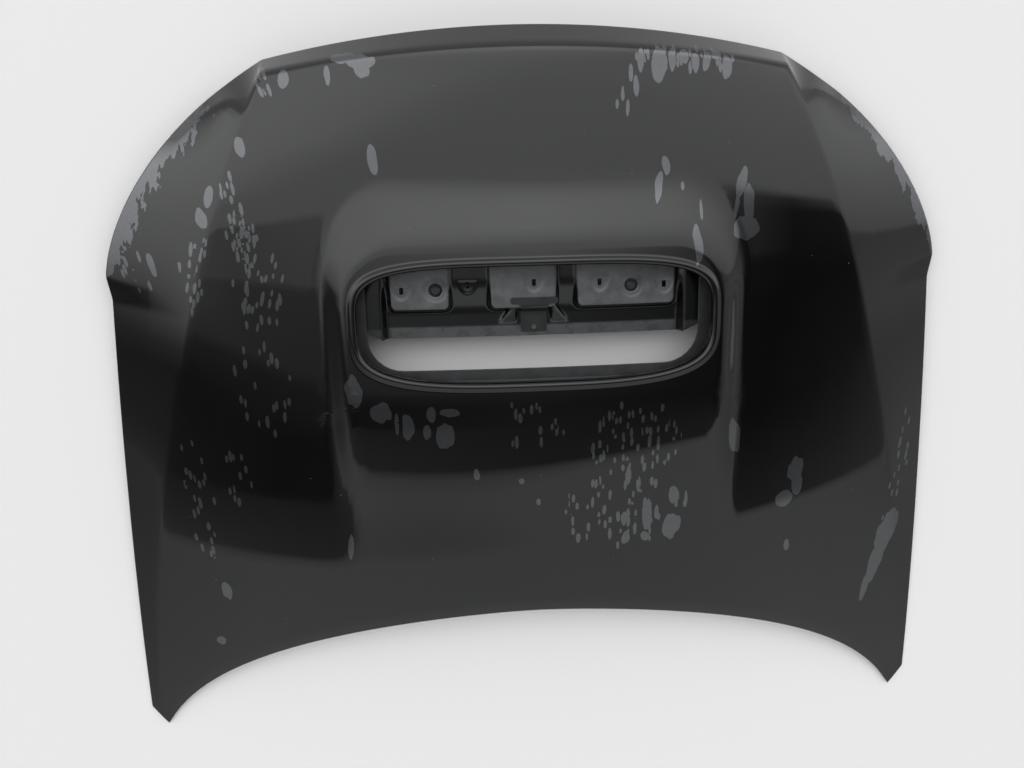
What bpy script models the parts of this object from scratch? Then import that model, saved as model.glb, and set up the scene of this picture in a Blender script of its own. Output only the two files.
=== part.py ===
# Car bonnet with a scoop opening: a hemmed outer skin over a pressed inner frame,
# with the slotted scoop mounting member, hinge plates and striker that it carries.
# It lies skin up. X runs across the car, +Y to the nose, +Z out of the skin, metres.
# Stations run forward from the rear tips.

import math

import bmesh
import bpy
from mathutils import Matrix, Vector
from mathutils.bvhtree import BVHTree
from mathutils.geometry import delaunay_2d_cdt

# Plan outline
LENGTH = 1.287                  # rear tips to the middle of the nose
NOSE_HALF_WIDTH = 0.444
NOSE_SWEEP = 0.044              # how far the nose corners lie behind the middle of the nose
FACE_LENGTH = 0.037             # plan length of the front face at the middle
FACE_SWEEP = 0.034
FACE_TAPER = 0.007              # the feature line is this much shorter each side than the nose
LAMP_HALF_WIDTH = 0.737         # half width where the headlamp edge ends
LAMP_LENGTH = 0.353             # station length of the headlamp edge
STEP_IN = 0.006                 # small step in behind the headlamp edge
STEP_LENGTH = 0.040
TIP_HALF_WIDTH = 0.765
TIP_BLUNT = 0.029               # the blunt end of a rear tip, across and along
TIP_SLANT = 0.036
REAR_HOLLOW = 0.254             # how far the rear edge's middle lies ahead of the tips

# Heights of the skin
CROWN_HEIGHT = 0.125            # top of the plain crown on the centre line
CREST_STATION = 0.4895 * LENGTH
FRONT_RADIUS = 6.4              # lengthwise radii of the crown
REAR_RADIUS = 3.0
REAR_ROLL = 0.005               # the rear edge rolls down by this much
REAR_ROLL_WIDTH = 0.026
NOSE_EDGE_HEIGHT = 0.045
CORNER_EDGE_HEIGHT = 0.004
CREASE_HEIGHTS = ((0.945, 0.062), (0.905, 0.068), (0.834, 0.077), (0.747, 0.084), (0.657, 0.081),
                  (0.513, 0.064), (0.355, 0.045), (0.239, 0.029), (0.028, 0.008), (0.0, 0.007))
EDGE_HEIGHTS = ((0.966, 0.004), (0.936, 0.013), (0.909, 0.024), (0.847, 0.029), (0.769, 0.027),
                (0.692, 0.024), (0.544, 0.020), (0.350, 0.013), (0.155, 0.007), (0.028, 0.0045))
STRIP_SLOPE = 0.40              # slope of the side strip beside the front face's wrapped end
WRAP_START = 0.049              # station length from the feature corner to the wrapped end
WRAP_LENGTH = 0.140

# Scoop opening
OPENING_HALF_WIDTH = 0.300
OPENING_REAR = 0.5474 * LENGTH  # the scoop's places below are all reckoned from here
OPENING_DEPTH = 0.196           # station length of the opening
FRONT_SQUARENESS = 4.2
REAR_SQUARENESS = 3.5
BULGE_HEIGHT = 0.022
BULGE_CORNER = 0.070
BULGE_RAMP = 0.050               # width of the shoulder's slope beside the opening
BULGE_FRONT_RAMP = 0.130         # and ahead of it, where it is gentler
BULGE_FADE = 0.360
LIP_WIDTH = 0.016
LIP_PROFILE = ((0.011, 0.0020), (0.006, 0.0040), (0.002, 0.0030), (0.0, -0.0010), (0.0, -0.0130))
RING_OFFSETS = (0.046, 0.036, 0.026, LIP_WIDTH)

# Sheet metal
SKIN_THICKNESS = 0.0008
FRAME_THICKNESS = 0.0007
MEMBER_THICKNESS = 0.0009
BRACKET_THICKNESS = 0.0012
SHEET_GAP = 0.0004              # joint gap between stacked sheets
SEAT_GAP = 0.0003               # gap under a piece that sits on another
HEM_RETURN = 0.011

# Inner frame; places are shares of the tips' half width and of the length
RIB_DEPTH = 0.025
RIM_DROP = 0.004                # frame rims lie this far below the skin
RIM_WIDTH = 0.012
WALL_WIDTH = 0.008
FLANGE_WIDTH = 0.0125
CHANNEL_WALL = 0.0065
FLOOR_CLEARANCE = 0.007
WINDOW_CORNER = 0.024
SCOOP_WINDOW_HALF_WIDTH = 0.288
SCOOP_WINDOW_REAR = OPENING_REAR + 0.0155
SCOOP_WINDOW_DEPTH = 0.210
SCOOP_WINDOW_CORNER = 0.060
SCOOP_WINDOW_FRONT = SCOOP_WINDOW_REAR + SCOOP_WINDOW_DEPTH
FRONT_WINDOW = ((0.1503, 0.8741), (0.4902, 0.8586), (0.5621, (SCOOP_WINDOW_FRONT + 0.055) / LENGTH),
                (0.1503, (SCOOP_WINDOW_FRONT + 0.075) / LENGTH))
SIDE_WINDOW = ((0.5033, 0.7110), (0.6144, 0.7110), (0.7255, 0.4856), (0.5359, 0.5089))
REAR_WINDOW = ((0.2810, 0.4584), (0.6275, 0.4235), (0.7124, 0.2681), (0.3725, 0.2603))
MIDDLE_WINDOW = ((-0.1699, 0.4662), (0.1699, 0.4662), (0.2549, 0.2564), (-0.2549, 0.2564))
SCOOP_RIM_SPARE = 0.006         # the window's flat rim goes on this far past the member

# Scoop mounting member
MEMBER_HEIGHT = 0.100
MEMBER_CROWN_RADIUS = 3.2
MEMBER_REAR = OPENING_REAR + 0.0691
MEMBER_OVERLAP = 0.014
MEMBER_COLUMNS = 12
WELL_SIDE = 0.026               # the pressed middle starts this far inside the frame's window
WELL_FRONT = 0.012
LEDGE_EDGE = 0.004              # width of the ledge's plain rear edge
MEMBER_SHOULDER = 0.020         # its end flanges start this far ahead of the ledge's rear edge
LEDGE_DEPTH = 0.0385
LEDGE_DROP = 0.020
WALL_RUN = 0.014
VALLEYS = ((-0.1405, -0.079), (0.042, 0.070))
VALLEY_DROP = 0.006
VALLEY_SLOPE = 0.005
VALLEY_MIDDLE = OPENING_REAR + 0.1605  # station of an extra row of corners in the valleys
PAD_PITCH = 0.113
PAD_STATION = OPENING_REAR + 0.1635
PAD_SAG = 0.0095                # the outer pads lie this much further back
PAD_RADIUS = 0.0175
PAD_RIM = 0.003
PAD_STRETCH = 1.5               # a half-round pad's depth over its half width
PAD_DROP = 0.0016
SLOT_WIDTH = 0.006
SLOT_LENGTH = 0.011
SLOT_CORNER = 0.001
DISH_OFFSET = 0.168
DISH_STATION = OPENING_REAR + 0.1540
DISH_RADIUS = 0.0125
DISH_RIM = 0.0025
DISH_DROP = 0.004
STUD_RADIUS = 0.008
STUD_HEIGHT = 0.006

# Centre bracket
BRACKET_HALF_WIDTH = 0.041
BRACKET_STEM_HALF_WIDTH = 0.0225
BRACKET_FRONT = OPENING_REAR + 0.1385
BRACKET_SHOULDER = OPENING_REAR + 0.1270
BRACKET_REAR = OPENING_REAR + 0.0761
BRACKET_HOLE_RADIUS = 0.0045
BRACKET_HOLE_STATION = OPENING_REAR + 0.0845

# Hinge and striker fixings
HINGE_PLACE = (0.7843 * TIP_HALF_WIDTH, 0.1826 * LENGTH)
HINGE_PAD = (0.130, 0.056)
HINGE_TURN = -32.0              # degrees about Z on the right-hand side
HINGE_PAD_DROP = 0.026
HINGE_PLATE_THICKNESS = 0.0025
HINGE_BOLT_PITCH = 0.070
STRIKER_STATION = 0.9169 * LENGTH
STRIKER_PAD = (0.150, 0.050)
STRIKER_PAD_DROP = 0.027
STRIKER_BRACE_THICKNESS = 0.0020
STRIKER_PLATE = (0.110, 0.034)
STRIKER_PLATE_THICKNESS = 0.003
STRIKER_BOLT_PITCH = 0.084
STRIKER_LOOP_SPAN = 0.040
STRIKER_LOOP_DROP = 0.034
STRIKER_WIRE_RADIUS = 0.004
PAD_WALL = 0.012
BOLT_RADIUS = 0.004
BOLT_CLEARANCE = 0.0005
BOLT_HEAD_RADIUS = 0.0075
BOLT_HEAD_HEIGHT = 0.0055
NUT_RADIUS = 0.0080
NUT_HEIGHT = 0.0065

# Anti-flutter mastic pads on the window rims, right-hand side: place as a share of the tips'
# half width and of the length, and turn in degrees
MASTIC_SIZE = (0.022, 0.009)
MASTIC_ROUNDING = 0.003
MASTIC_GAP = 0.0005
MASTIC_PLACES = ((0.3203, 0.8710, -4), (0.5333, 0.8139, -65), (0.6771, 0.5998, -74),
                 (0.5425, 0.2595, 2), (0.1307, 0.2517, 0))

# Mesh fineness
OUTER_COLUMNS = 4               # beside the opening block, the last one at the tip's corner
BLOCK_COLUMNS = (0.0, 0.20, 0.40, 0.60, 0.78, 0.86, 0.93, 1.0)
ROWS = (4, 5, 5, 5)             # ahead of the block, its two halves, behind it
BLOCK_SHARE = 0.63              # share of the half width that the opening block takes
BLOCK_MARGIN = 0.060
BLOCK_SKEW = 0.015              # the block's end rows fan out by this at the creases
BAND_SHARES = (0.5, 1.0, 2.0)
EDGE_STRIP = 0.013
FOLD_STEPS = 3
WINDOW_SPACING = 0.040
SCOOP_WINDOW_SPACING = 0.045

NOSE_CORNER = (NOSE_HALF_WIDTH, LENGTH - NOSE_SWEEP)
FEATURE_STATION = LENGTH - FACE_LENGTH
FEATURE_CORNER = (NOSE_HALF_WIDTH - FACE_TAPER, FEATURE_STATION - FACE_SWEEP)
LAMP_END = (LAMP_HALF_WIDTH, LENGTH - NOSE_SWEEP - LAMP_LENGTH)
STEP_END = (LAMP_HALF_WIDTH - STEP_IN, LAMP_END[1] - STEP_LENGTH)
TIP_OUTER = (TIP_HALF_WIDTH, TIP_SLANT)
TIP_INNER = (TIP_HALF_WIDTH - TIP_BLUNT, 0.0)
TIP_MIDDLE = (TIP_HALF_WIDTH - TIP_BLUNT / 2, TIP_SLANT / 2)
REAR_MIDDLE = (0.0, REAR_HOLLOW)
OPENING_MIDDLE = OPENING_REAR + OPENING_DEPTH / 2
OPENING_FRONT = OPENING_REAR + OPENING_DEPTH
BLOCK_FRONT = OPENING_FRONT + BLOCK_MARGIN
BLOCK_REAR = OPENING_REAR - BLOCK_MARGIN
CREASE_LAMP_STATION = LAMP_END[1] - 0.030
HEM_RADIUS = (SKIN_THICKNESS + FRAME_THICKNESS) / 2 + SHEET_GAP
COLUMNS = 2 * (OUTER_COLUMNS + len(BLOCK_COLUMNS) - 1)
ROW_COUNT = sum(ROWS) + 2
LEDGE_FRONT = MEMBER_REAR + LEDGE_DEPTH
WALL_FRONT = LEDGE_FRONT + WALL_RUN
MEMBER_STACK = (FRAME_THICKNESS + MEMBER_THICKNESS) / 2 + SHEET_GAP

for old in list(bpy.data.objects):
    bpy.data.objects.remove(old, do_unlink=True)


# Small helpers

def mix(a, b, share):
    return a + (b - a) * share


def ease(share):
    share = min(max(share, 0.0), 1.0)
    return share * share * (3 - 2 * share)


def place(x, station, z=0.0):
    return Vector((x, station - LENGTH / 2, z))


def heights_at(table, station):
    """Height from a table of (share of the length, height), eased between its rows."""
    share = station / LENGTH
    if share >= table[0][0]:
        return table[0][1]
    for (front, high), (rear, low) in zip(table, table[1:]):
        if share >= rear:
            return mix(low, high, (share - rear) / (front - rear))
    return table[-1][1]


def bezier_rail(start, heading, reach, end, end_heading, end_reach, count=28):
    """Points of a smooth plan curve between two ends with headings in degrees."""
    p0, p3 = Vector(start), Vector(end)
    p1 = p0 + reach * Vector((math.cos(math.radians(heading)), math.sin(math.radians(heading))))
    p2 = p3 - end_reach * Vector((math.cos(math.radians(end_heading)),
                                  math.sin(math.radians(end_heading))))
    points = []
    for step in range(count + 1):
        t = step / count
        points.append((1 - t) ** 3 * p0 + 3 * t * (1 - t) ** 2 * p1
                      + 3 * t * t * (1 - t) * p2 + t ** 3 * p3)
    return points


def along(rail, share):
    """The point at a share of a rail's length."""
    lengths = [(b - a).length for a, b in zip(rail, rail[1:])]
    left = min(max(share, 0.0), 1.0) * sum(lengths)
    for start, end, length in zip(rail, rail[1:], lengths):
        if left <= length:
            return start.lerp(end, left / length)
        left -= length
    return rail[-1].copy()


LAMP_RAIL = bezier_rail(NOSE_CORNER, -31, 0.20, LAMP_END, -81.5, 0.105)
SIDE_RAIL = [Vector(LAMP_END)] + bezier_rail(STEP_END, -86, 0.27, TIP_OUTER, -90, 0.26)
CREASE_RAIL = bezier_rail(FEATURE_CORNER, -65, 0.35, TIP_MIDDLE, -86, 0.40)
REAR_RAIL = bezier_rail(REAR_MIDDLE, 0, 0.139, TIP_INNER, -59, 0.254) + [Vector(TIP_MIDDLE)]


TIP_SHARE = 1 - (REAR_RAIL[-1] - REAR_RAIL[-2]).length / sum(
    (b - a).length for a, b in zip(REAR_RAIL, REAR_RAIL[1:]))


def crease_half_width(station):
    """Half width of the top between its creases at a station."""
    for front, rear in zip(CREASE_RAIL, CREASE_RAIL[1:]):
        if station >= rear.y or rear is CREASE_RAIL[-1]:
            share = (station - rear.y) / (front.y - rear.y)
            return mix(rear.x, front.x, min(share, 2.0))
    return CREASE_RAIL[-1].x


def rear_station(x):
    """Station of the rear edge at a half width."""
    for inner, outer in zip(REAR_RAIL, REAR_RAIL[1:]):
        if abs(x) <= outer.x:
            return mix(inner.y, outer.y, (abs(x) - inner.x) / (outer.x - inner.x))
    return 0.0


def bulge(x, station):
    """The raised shoulder round the opening, which fades out behind it."""
    across = max(abs(x) - (OPENING_HALF_WIDTH - BULGE_CORNER), 0.0)
    ahead = max(station - (OPENING_FRONT - BULGE_CORNER), 0.0)
    away = math.hypot(across, ahead)
    ramp = mix(BULGE_RAMP, BULGE_FRONT_RAMP, (ahead / away) ** 2 if away else 0.0)
    side = 1 - ease((away - BULGE_CORNER - LIP_WIDTH) / ramp)
    behind = min(max((OPENING_REAR - LIP_WIDTH - station) / BULGE_FADE, 0.0), 1.0)
    return BULGE_HEIGHT * side * (1 - behind) ** 3 * (1 + 3 * behind)


def top_height(x, station):
    """Height of the skin's middle surface between the creases."""
    off_crest = station - CREST_STATION
    radius = FRONT_RADIUS if off_crest > 0 else REAR_RADIUS
    middle = CROWN_HEIGHT - off_crest ** 2 / (2 * radius)
    side = heights_at(CREASE_HEIGHTS, station)
    share = x / crease_half_width(station)
    roll = 1 - (station - rear_station(x)) / REAR_ROLL_WIDTH
    drop = REAR_ROLL * max(roll, 0.0) ** 2 * (1 - share ** 2)
    return mix(middle, side, share ** 2) + bulge(x, station) - drop


def opening_point(turn, offset):
    """A point on the opening's outline, moved out by an offset; turn in radians from +X."""
    squareness = FRONT_SQUARENESS if math.sin(turn) > 0 else REAR_SQUARENESS
    power = 2 / squareness
    x = (OPENING_HALF_WIDTH + offset) * math.copysign(abs(math.cos(turn)) ** power, math.cos(turn))
    run = (OPENING_DEPTH / 2 + offset) * math.copysign(abs(math.sin(turn)) ** power, math.sin(turn))
    return x, OPENING_MIDDLE + run


# The skin's grid

def row_stations():
    """Stations of each row on the centre line and on the crease, nose to rear."""
    middle = [(FEATURE_STATION, FEATURE_CORNER[1]), (BLOCK_FRONT, BLOCK_FRONT + BLOCK_SKEW),
              (OPENING_MIDDLE, OPENING_MIDDLE), (BLOCK_REAR, BLOCK_REAR - BLOCK_SKEW),
              (REAR_HOLLOW + REAR_ROLL_WIDTH, TIP_MIDDLE[1] + REAR_ROLL_WIDTH)]
    rows = []
    for start, end, count in zip(middle, middle[1:], ROWS):
        for step in range(count):
            share = step / count
            rows.append((mix(start[0], end[0], share), mix(start[1], end[1], share)))
    rows.append(middle[-1])
    rows.append((REAR_HOLLOW + EDGE_STRIP, TIP_MIDDLE[1] + EDGE_STRIP))
    rows.append((REAR_HOLLOW, TIP_MIDDLE[1]))
    return rows


ROW_STATIONS = row_stations()


def column_share(column):
    """Signed share of the half width for a grid column."""
    step = column - COLUMNS // 2
    inner = len(BLOCK_COLUMNS) - 1
    if abs(step) <= inner:
        share = BLOCK_SHARE * BLOCK_COLUMNS[abs(step)]
    elif abs(step) == inner + OUTER_COLUMNS:
        share = 1.0
    else:
        share = mix(BLOCK_SHARE, TIP_SHARE, (abs(step) - inner) / (OUTER_COLUMNS - 1))
    return math.copysign(share, step)


def grid_plan(column, row):
    """Plan place of a grid corner of the top."""
    share = column_share(column)
    size = abs(share)
    middle, side = ROW_STATIONS[row]
    front = max(0.0, (middle - BLOCK_FRONT) / (FEATURE_STATION - BLOCK_FRONT))
    back = max(0.0, (BLOCK_REAR - middle) / (BLOCK_REAR - REAR_HOLLOW))
    rear = along(REAR_RAIL, size)
    front_bow = FEATURE_STATION - FACE_SWEEP * size ** 2 - mix(FEATURE_STATION, FEATURE_CORNER[1], size)
    rear_bow = rear.y - mix(REAR_HOLLOW, TIP_MIDDLE[1], size)
    rear_spread = rear.x - size * TIP_MIDDLE[0]
    x = size * crease_half_width(side) + back * rear_spread
    station = mix(middle, side, size) + front * front_bow + back * rear_bow
    return math.copysign(x, share), station


def block_turn(column, row):
    """Turn about the opening for a corner on the block's border."""
    half = len(BLOCK_COLUMNS) - 1
    across = column - COLUMNS // 2
    ahead = ROWS[0] + ROWS[1] - row
    quarter = half + ROWS[1]
    if abs(across) == half:
        turn = math.pi / 2 * abs(ahead) / quarter
    else:
        turn = math.pi / 2 * (quarter - abs(across)) / quarter
    turn = turn if across >= 0 else math.pi - turn
    return turn if ahead >= 0 else -turn


def edge_height(station):
    return heights_at(EDGE_HEIGHTS, station)


def band_point(column, row, share):
    """A point of the band from the crease or feature line, to the edge strip at 1, to the edge at 2."""
    x, station = grid_plan(column, row)
    inner = Vector((x, station, top_height(x, station)))
    if row == 0:
        size = column_share(column)
        outer = Vector((size * NOSE_HALF_WIDTH, LENGTH - NOSE_SWEEP * size ** 2,
                        mix(NOSE_EDGE_HEIGHT, CORNER_EDGE_HEIGHT, size ** 2)))
    else:
        side = ROW_STATIONS[row][1]
        if side > CREASE_LAMP_STATION:
            edge = along(LAMP_RAIL, (FEATURE_CORNER[1] - side) / (FEATURE_CORNER[1] - CREASE_LAMP_STATION))
        else:
            edge = along(SIDE_RAIL, (CREASE_LAMP_STATION - side) / (CREASE_LAMP_STATION - TIP_MIDDLE[1]))
        outer = Vector((math.copysign(edge.x, x), edge.y, edge_height(edge.y)))
    width = (outer.xy - inner.xy).length
    strip = max(1 - EDGE_STRIP / width, 0.5)
    share = share * strip if share <= 1 else mix(strip, 1.0, share - 1)
    point = inner.lerp(outer, share)
    wrap = (FEATURE_CORNER[1] - WRAP_START - ROW_STATIONS[row][1]) / WRAP_LENGTH
    if row > 0 and 0 < wrap < 1:
        brink = math.sqrt(1 - (1 - wrap) ** 4)
        slope = mix(STRIP_SLOPE, (inner.z - outer.z) / width, ease(wrap))
        brink_height = inner.z - brink * width * slope
        if share <= brink:
            point.z = mix(inner.z, brink_height, share / brink)
        else:
            point.z = mix(brink_height, outer.z, (share - brink) / (1 - brink))
    return point


def extrude_ring(bm, edges, tags, position):
    """Extrude open edges once and move each new corner to position(tag)."""
    made = bmesh.ops.extrude_edge_only(bm, edges=edges)['geom']
    for vert in (item for item in made if isinstance(item, bmesh.types.BMVert)):
        vert.co = position(vert[tags])
    return [item for item in made if isinstance(item, bmesh.types.BMEdge)]


def skin_top():
    """The skin's middle surface out to its edge and in to the lip, with its open loops."""
    bm = bmesh.new()
    bmesh.ops.create_grid(bm, x_segments=COLUMNS, y_segments=ROW_COUNT, size=1.0)
    bm.verts.layers.int.new('tag')
    bm.verts.layers.int.new('hem')
    tags = bm.verts.layers.int['tag']
    width = COLUMNS + 1
    for vert in bm.verts:
        column = round((vert.co.x + 1) / 2 * COLUMNS)
        row = round((1 - vert.co.y) / 2 * ROW_COUNT)
        vert[tags] = row * width + column
        x, station = grid_plan(column, row)
        vert.co = place(x, station, top_height(x, station))

    def in_block(vert):
        row, column = divmod(vert[tags], width)
        return (ROWS[0] <= row <= sum(ROWS[:3])
                and abs(column - COLUMNS // 2) <= len(BLOCK_COLUMNS) - 1)

    block = [face for face in bm.faces if all(in_block(vert) for vert in face.verts)]
    bmesh.ops.delete(bm, geom=block, context='FACES')
    open_edges = [edge for edge in bm.edges if edge.is_boundary]
    inner = [edge for edge in open_edges if all(in_block(vert) for vert in edge.verts)]
    last = ROW_COUNT * width
    rear = {edge for edge in open_edges if all(vert[tags] >= last for vert in edge.verts)}
    outer = [edge for edge in open_edges if edge not in rear and edge not in inner]

    def ring(offset, lift):
        def position(tag):
            row, column = divmod(tag, width)
            x, station = opening_point(block_turn(column, row), offset)
            return place(x, station, top_height(x, station) + lift)
        return position

    for offset in RING_OFFSETS:
        inner = extrude_ring(bm, inner, tags, ring(offset, 0.0))

    def band(share):
        def position(tag):
            row, column = divmod(tag, width)
            return place(*band_point(column, row, share))
        return position

    for share in BAND_SHARES:
        outer = extrude_ring(bm, outer, tags, band(share))
    bmesh.ops.recalc_face_normals(bm, faces=bm.faces)
    if sum(face.normal.z for face in bm.faces) < 0:
        bmesh.ops.reverse_faces(bm, faces=bm.faces)
    bmesh.ops.triangulate(bm, faces=bm.faces)
    bm.normal_update()
    return bm, tags, inner, ring


def ordered_loop(edges):
    """The corners of a closed loop of edges, in order."""
    start = edges[0].verts[0]
    loop, vert, used = [start], start, None
    mine = set(edges)
    while True:
        used = next(edge for edge in vert.link_edges if edge in mine and edge is not used)
        vert = used.other_vert(vert)
        if vert is start:
            return loop
        loop.append(vert)


def edge_frames(loop, edges):
    """Outward direction and surface normal at each corner of a border loop."""
    mine = set(edges)
    frames = []
    for vert in loop:
        outs, normal = [], Vector()
        for edge in (item for item in vert.link_edges if item in mine):
            face = edge.link_faces[0]
            out = (edge.verts[1].co - edge.verts[0].co).cross(face.normal).normalized()
            middle = (edge.verts[0].co + edge.verts[1].co) / 2
            if out.dot(face.calc_center_median() - middle) > 0:
                out.negate()
            outs.append(out)
            normal += face.normal
        out = (outs[0] + outs[1]).normalized()
        frames.append((out / max(out.dot(outs[0]), 0.66), normal.normalized()))
    return frames


class Surface:
    """Looks up the skin's middle surface under a plan point."""

    def __init__(self, bm):
        self.tree = BVHTree.FromBMesh(bm)

    def at(self, x, y):
        spot, normal, _, _ = self.tree.ray_cast(Vector((x, y, 1.0)), Vector((0, 0, -1)))
        if spot is None:
            spot, normal, _, _ = self.tree.find_nearest(Vector((x, y, 0.02)))
        return spot, normal if normal.z > 0 else -normal


# Materials and objects

def material(name, color, roughness, metallic=0.0):
    made = bpy.data.materials.new(name)
    made.use_nodes = True
    shader = made.node_tree.nodes['Principled BSDF']
    shader.inputs['Base Color'].default_value = (*color, 1.0)
    shader.inputs['Roughness'].default_value = roughness
    shader.inputs['Metallic'].default_value = metallic
    return made


BLACK_ENAMEL = (0.010, 0.011, 0.012)
PRIMER_BLACK = (0.020, 0.021, 0.022)
ZINC = (0.45, 0.44, 0.40)
MASTIC_GREY = (0.10, 0.10, 0.095)
PLASTIC_BLACK = (0.015, 0.015, 0.015)


def add_object(name, bm, look):
    """Turn a bmesh into a shaded object of the bonnet."""
    bmesh.ops.triangulate(bm, faces=bm.faces)
    mesh = bpy.data.meshes.new(name)
    bm.to_mesh(mesh)
    bm.free()
    mesh.shade_smooth()
    mesh.set_sharp_from_angle(angle=math.radians(35))
    mesh.materials.append(material(name + '_finish', *look))
    made = bpy.data.objects.new(name, mesh)
    BONNET.objects.link(made)
    return made


def solidify(made, thickness):
    wall = made.modifiers.new('wall', 'SOLIDIFY')
    wall.thickness = thickness
    wall.offset = 0.0
    return made


BONNET = bpy.data.collections.new('car_bonnet')
bpy.context.scene.collection.children.link(BONNET)


def pressed_sheet(name, loops, holes, thickness, look):
    """A sheet through closed 3-D loops: the first is its outline, holes are cut out."""
    points, edges = [], []
    for loop in list(loops) + list(holes):
        first = len(points)
        points.extend(loop)
        edges.extend((first + i, first + (i + 1) % len(loop)) for i in range(len(loop)))
    flat, _, faces, origin, _, _ = delaunay_2d_cdt([p.xy for p in points], edges, [], 0, 1e-6)
    bm = bmesh.new()
    verts = []
    for spot, sources in zip(flat, origin):
        if not sources:
            raise ValueError('the loops of %s cross at %.3f, %.3f' % (name, *spot))
        verts.append(bm.verts.new((spot.x, spot.y, points[sources[0]].z)))
    for face in faces:
        centre = sum((flat[i] for i in face), Vector((0.0, 0.0))) / len(face)
        if inside(centre, loops[0]) and not any(inside(centre, hole) for hole in holes):
            bm.faces.new([verts[i] for i in face])
    bmesh.ops.delete(bm, geom=[v for v in bm.verts if not v.link_faces], context='VERTS')
    bmesh.ops.recalc_face_normals(bm, faces=bm.faces)
    if sum(face.normal.z for face in bm.faces) < 0:
        bmesh.ops.reverse_faces(bm, faces=bm.faces)
    return solidify(add_object(name, bm, look), thickness)


def inside(spot, loop):
    """Whether a plan point lies inside a closed loop."""
    found = False
    for a, b in zip(loop, loop[1:] + loop[:1]):
        if (a.y > spot.y) != (b.y > spot.y):
            if spot.x < a.x + (spot.y - a.y) / (b.y - a.y) * (b.x - a.x):
                found = not found
    return found


def rounded_loop(corners, radius, offset, segments=4, spacing=1.0):
    """A rounded convex plan loop, moved out by an offset; long sides get points at the spacing."""
    corners = [Vector(corner) for corner in corners]
    area = sum(a.x * b.y - a.y * b.x for a, b in zip(corners, corners[1:] + corners[:1]))
    if area < 0:
        corners.reverse()
    points = []
    for before, here, after in zip(corners[-1:] + corners[:-1], corners, corners[1:] + corners[:1]):
        into, out = (here - before).normalized(), (after - here).normalized()
        bend = into.angle(out)
        centre = here + (out - into).normalized() * radius / math.cos(bend / 2)
        start = math.atan2(-into.x, into.y)
        for step in range(segments + 1):
            turn = start + bend * step / segments
            points.append(centre + (radius + offset) * Vector((math.cos(turn), math.sin(turn))))
    filled = []
    for point, following in zip(points, points[1:] + points[:1]):
        parts = max(1, round((following - point).length / spacing))
        filled += [point.lerp(following, step / parts) for step in range(parts)]
    return filled


def turned_rectangle(centre, size, degrees, offset):
    """Corners of a rectangle turned about its centre, grown by an offset."""
    turn = Matrix.Rotation(math.radians(degrees), 2)
    half = Vector((size[0] / 2 + offset, size[1] / 2 + offset))
    return [Vector(centre) + turn @ Vector((half.x * i, half.y * j))
            for i, j in ((-1, -1), (1, -1), (1, 1), (-1, 1))]


def circle(centre, radius, count=12):
    return [Vector(centre) + radius * Vector((math.cos(math.tau * i / count), math.sin(math.tau * i / count)))
            for i in range(count)]


def spread(corners, side=1):
    """Plan corners from shares of the tips' half width and of the length."""
    return [(side * x * TIP_HALF_WIDTH, station * LENGTH) for x, station in corners]


# Pieces

def make_skin():
    """The outer skin: top, rolled scoop lip and hem fold. Returns its surface and border frames."""
    bm, tags, inner, ring = skin_top()
    surface = Surface(bm)
    inner_now = inner
    border = [edge for edge in bm.edges if edge.is_boundary and edge not in set(inner)]
    loop = ordered_loop(border)
    frames = edge_frames(loop, border)
    spots = [vert.co.copy() for vert in loop]
    for offset, lift in LIP_PROFILE:
        inner_now = extrude_ring(bm, inner_now, tags, ring(offset, lift))
    hem = bm.verts.layers.int['hem']
    for index, vert in enumerate(loop):
        vert[hem] = index

    def fold(angle):
        def position(index):
            out, normal = frames[index]
            reach = HEM_RADIUS * (out * math.sin(angle) - normal * (1 - math.cos(angle)))
            return spots[index] + reach
        return position

    def hem_return(index):
        return sheet_point(surface, spots[index], frames[index][0], HEM_RETURN, 2 * HEM_RADIUS)

    edges = border
    for step in range(1, FOLD_STEPS + 1):
        edges = extrude_ring(bm, edges, hem, fold(math.pi * step / FOLD_STEPS))
    extrude_ring(bm, edges, hem, hem_return)
    bmesh.ops.recalc_face_normals(bm, faces=bm.faces)
    up = [face for face in bm.faces if abs(face.normal.z) > 0.9 and face.calc_area() > 1e-4]
    if sum(face.normal.z * face.calc_area() for face in up) < 0:
        bmesh.ops.reverse_faces(bm, faces=bm.faces)
    solidify(add_object('outer_skin', bm, (BLACK_ENAMEL, 0.12)), SKIN_THICKNESS)
    return surface, spots, frames


def sheet_point(surface, spot, out, inset, depth):
    """A point inboard of the border, below the skin by a depth along its normal."""
    flat = spot - out * inset
    hit, normal = surface.at(flat.x, flat.y)
    return hit - normal * depth


def frame_height(surface, x, y, drop):
    """Height of the frame below the skin, kept clear of the floor."""
    hit, _ = surface.at(x, y)
    return max(hit.z - drop, min(FLOOR_CLEARANCE, hit.z - RIM_DROP))


def window_loops(surface, corners):
    """A frame window's edge, the outside of its raised rim and the foot of the rim's wall."""
    made = []
    for offset, drop in ((0.0, RIM_DROP), (RIM_WIDTH, RIM_DROP), (RIM_WIDTH + WALL_WIDTH, RIB_DEPTH)):
        flat = rounded_loop(corners, WINDOW_CORNER, offset, 4, WINDOW_SPACING)
        made.append([Vector((p.x, p.y - LENGTH / 2, frame_height(surface, p.x, p.y - LENGTH / 2, drop)))
                     for p in flat])
    return made


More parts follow.
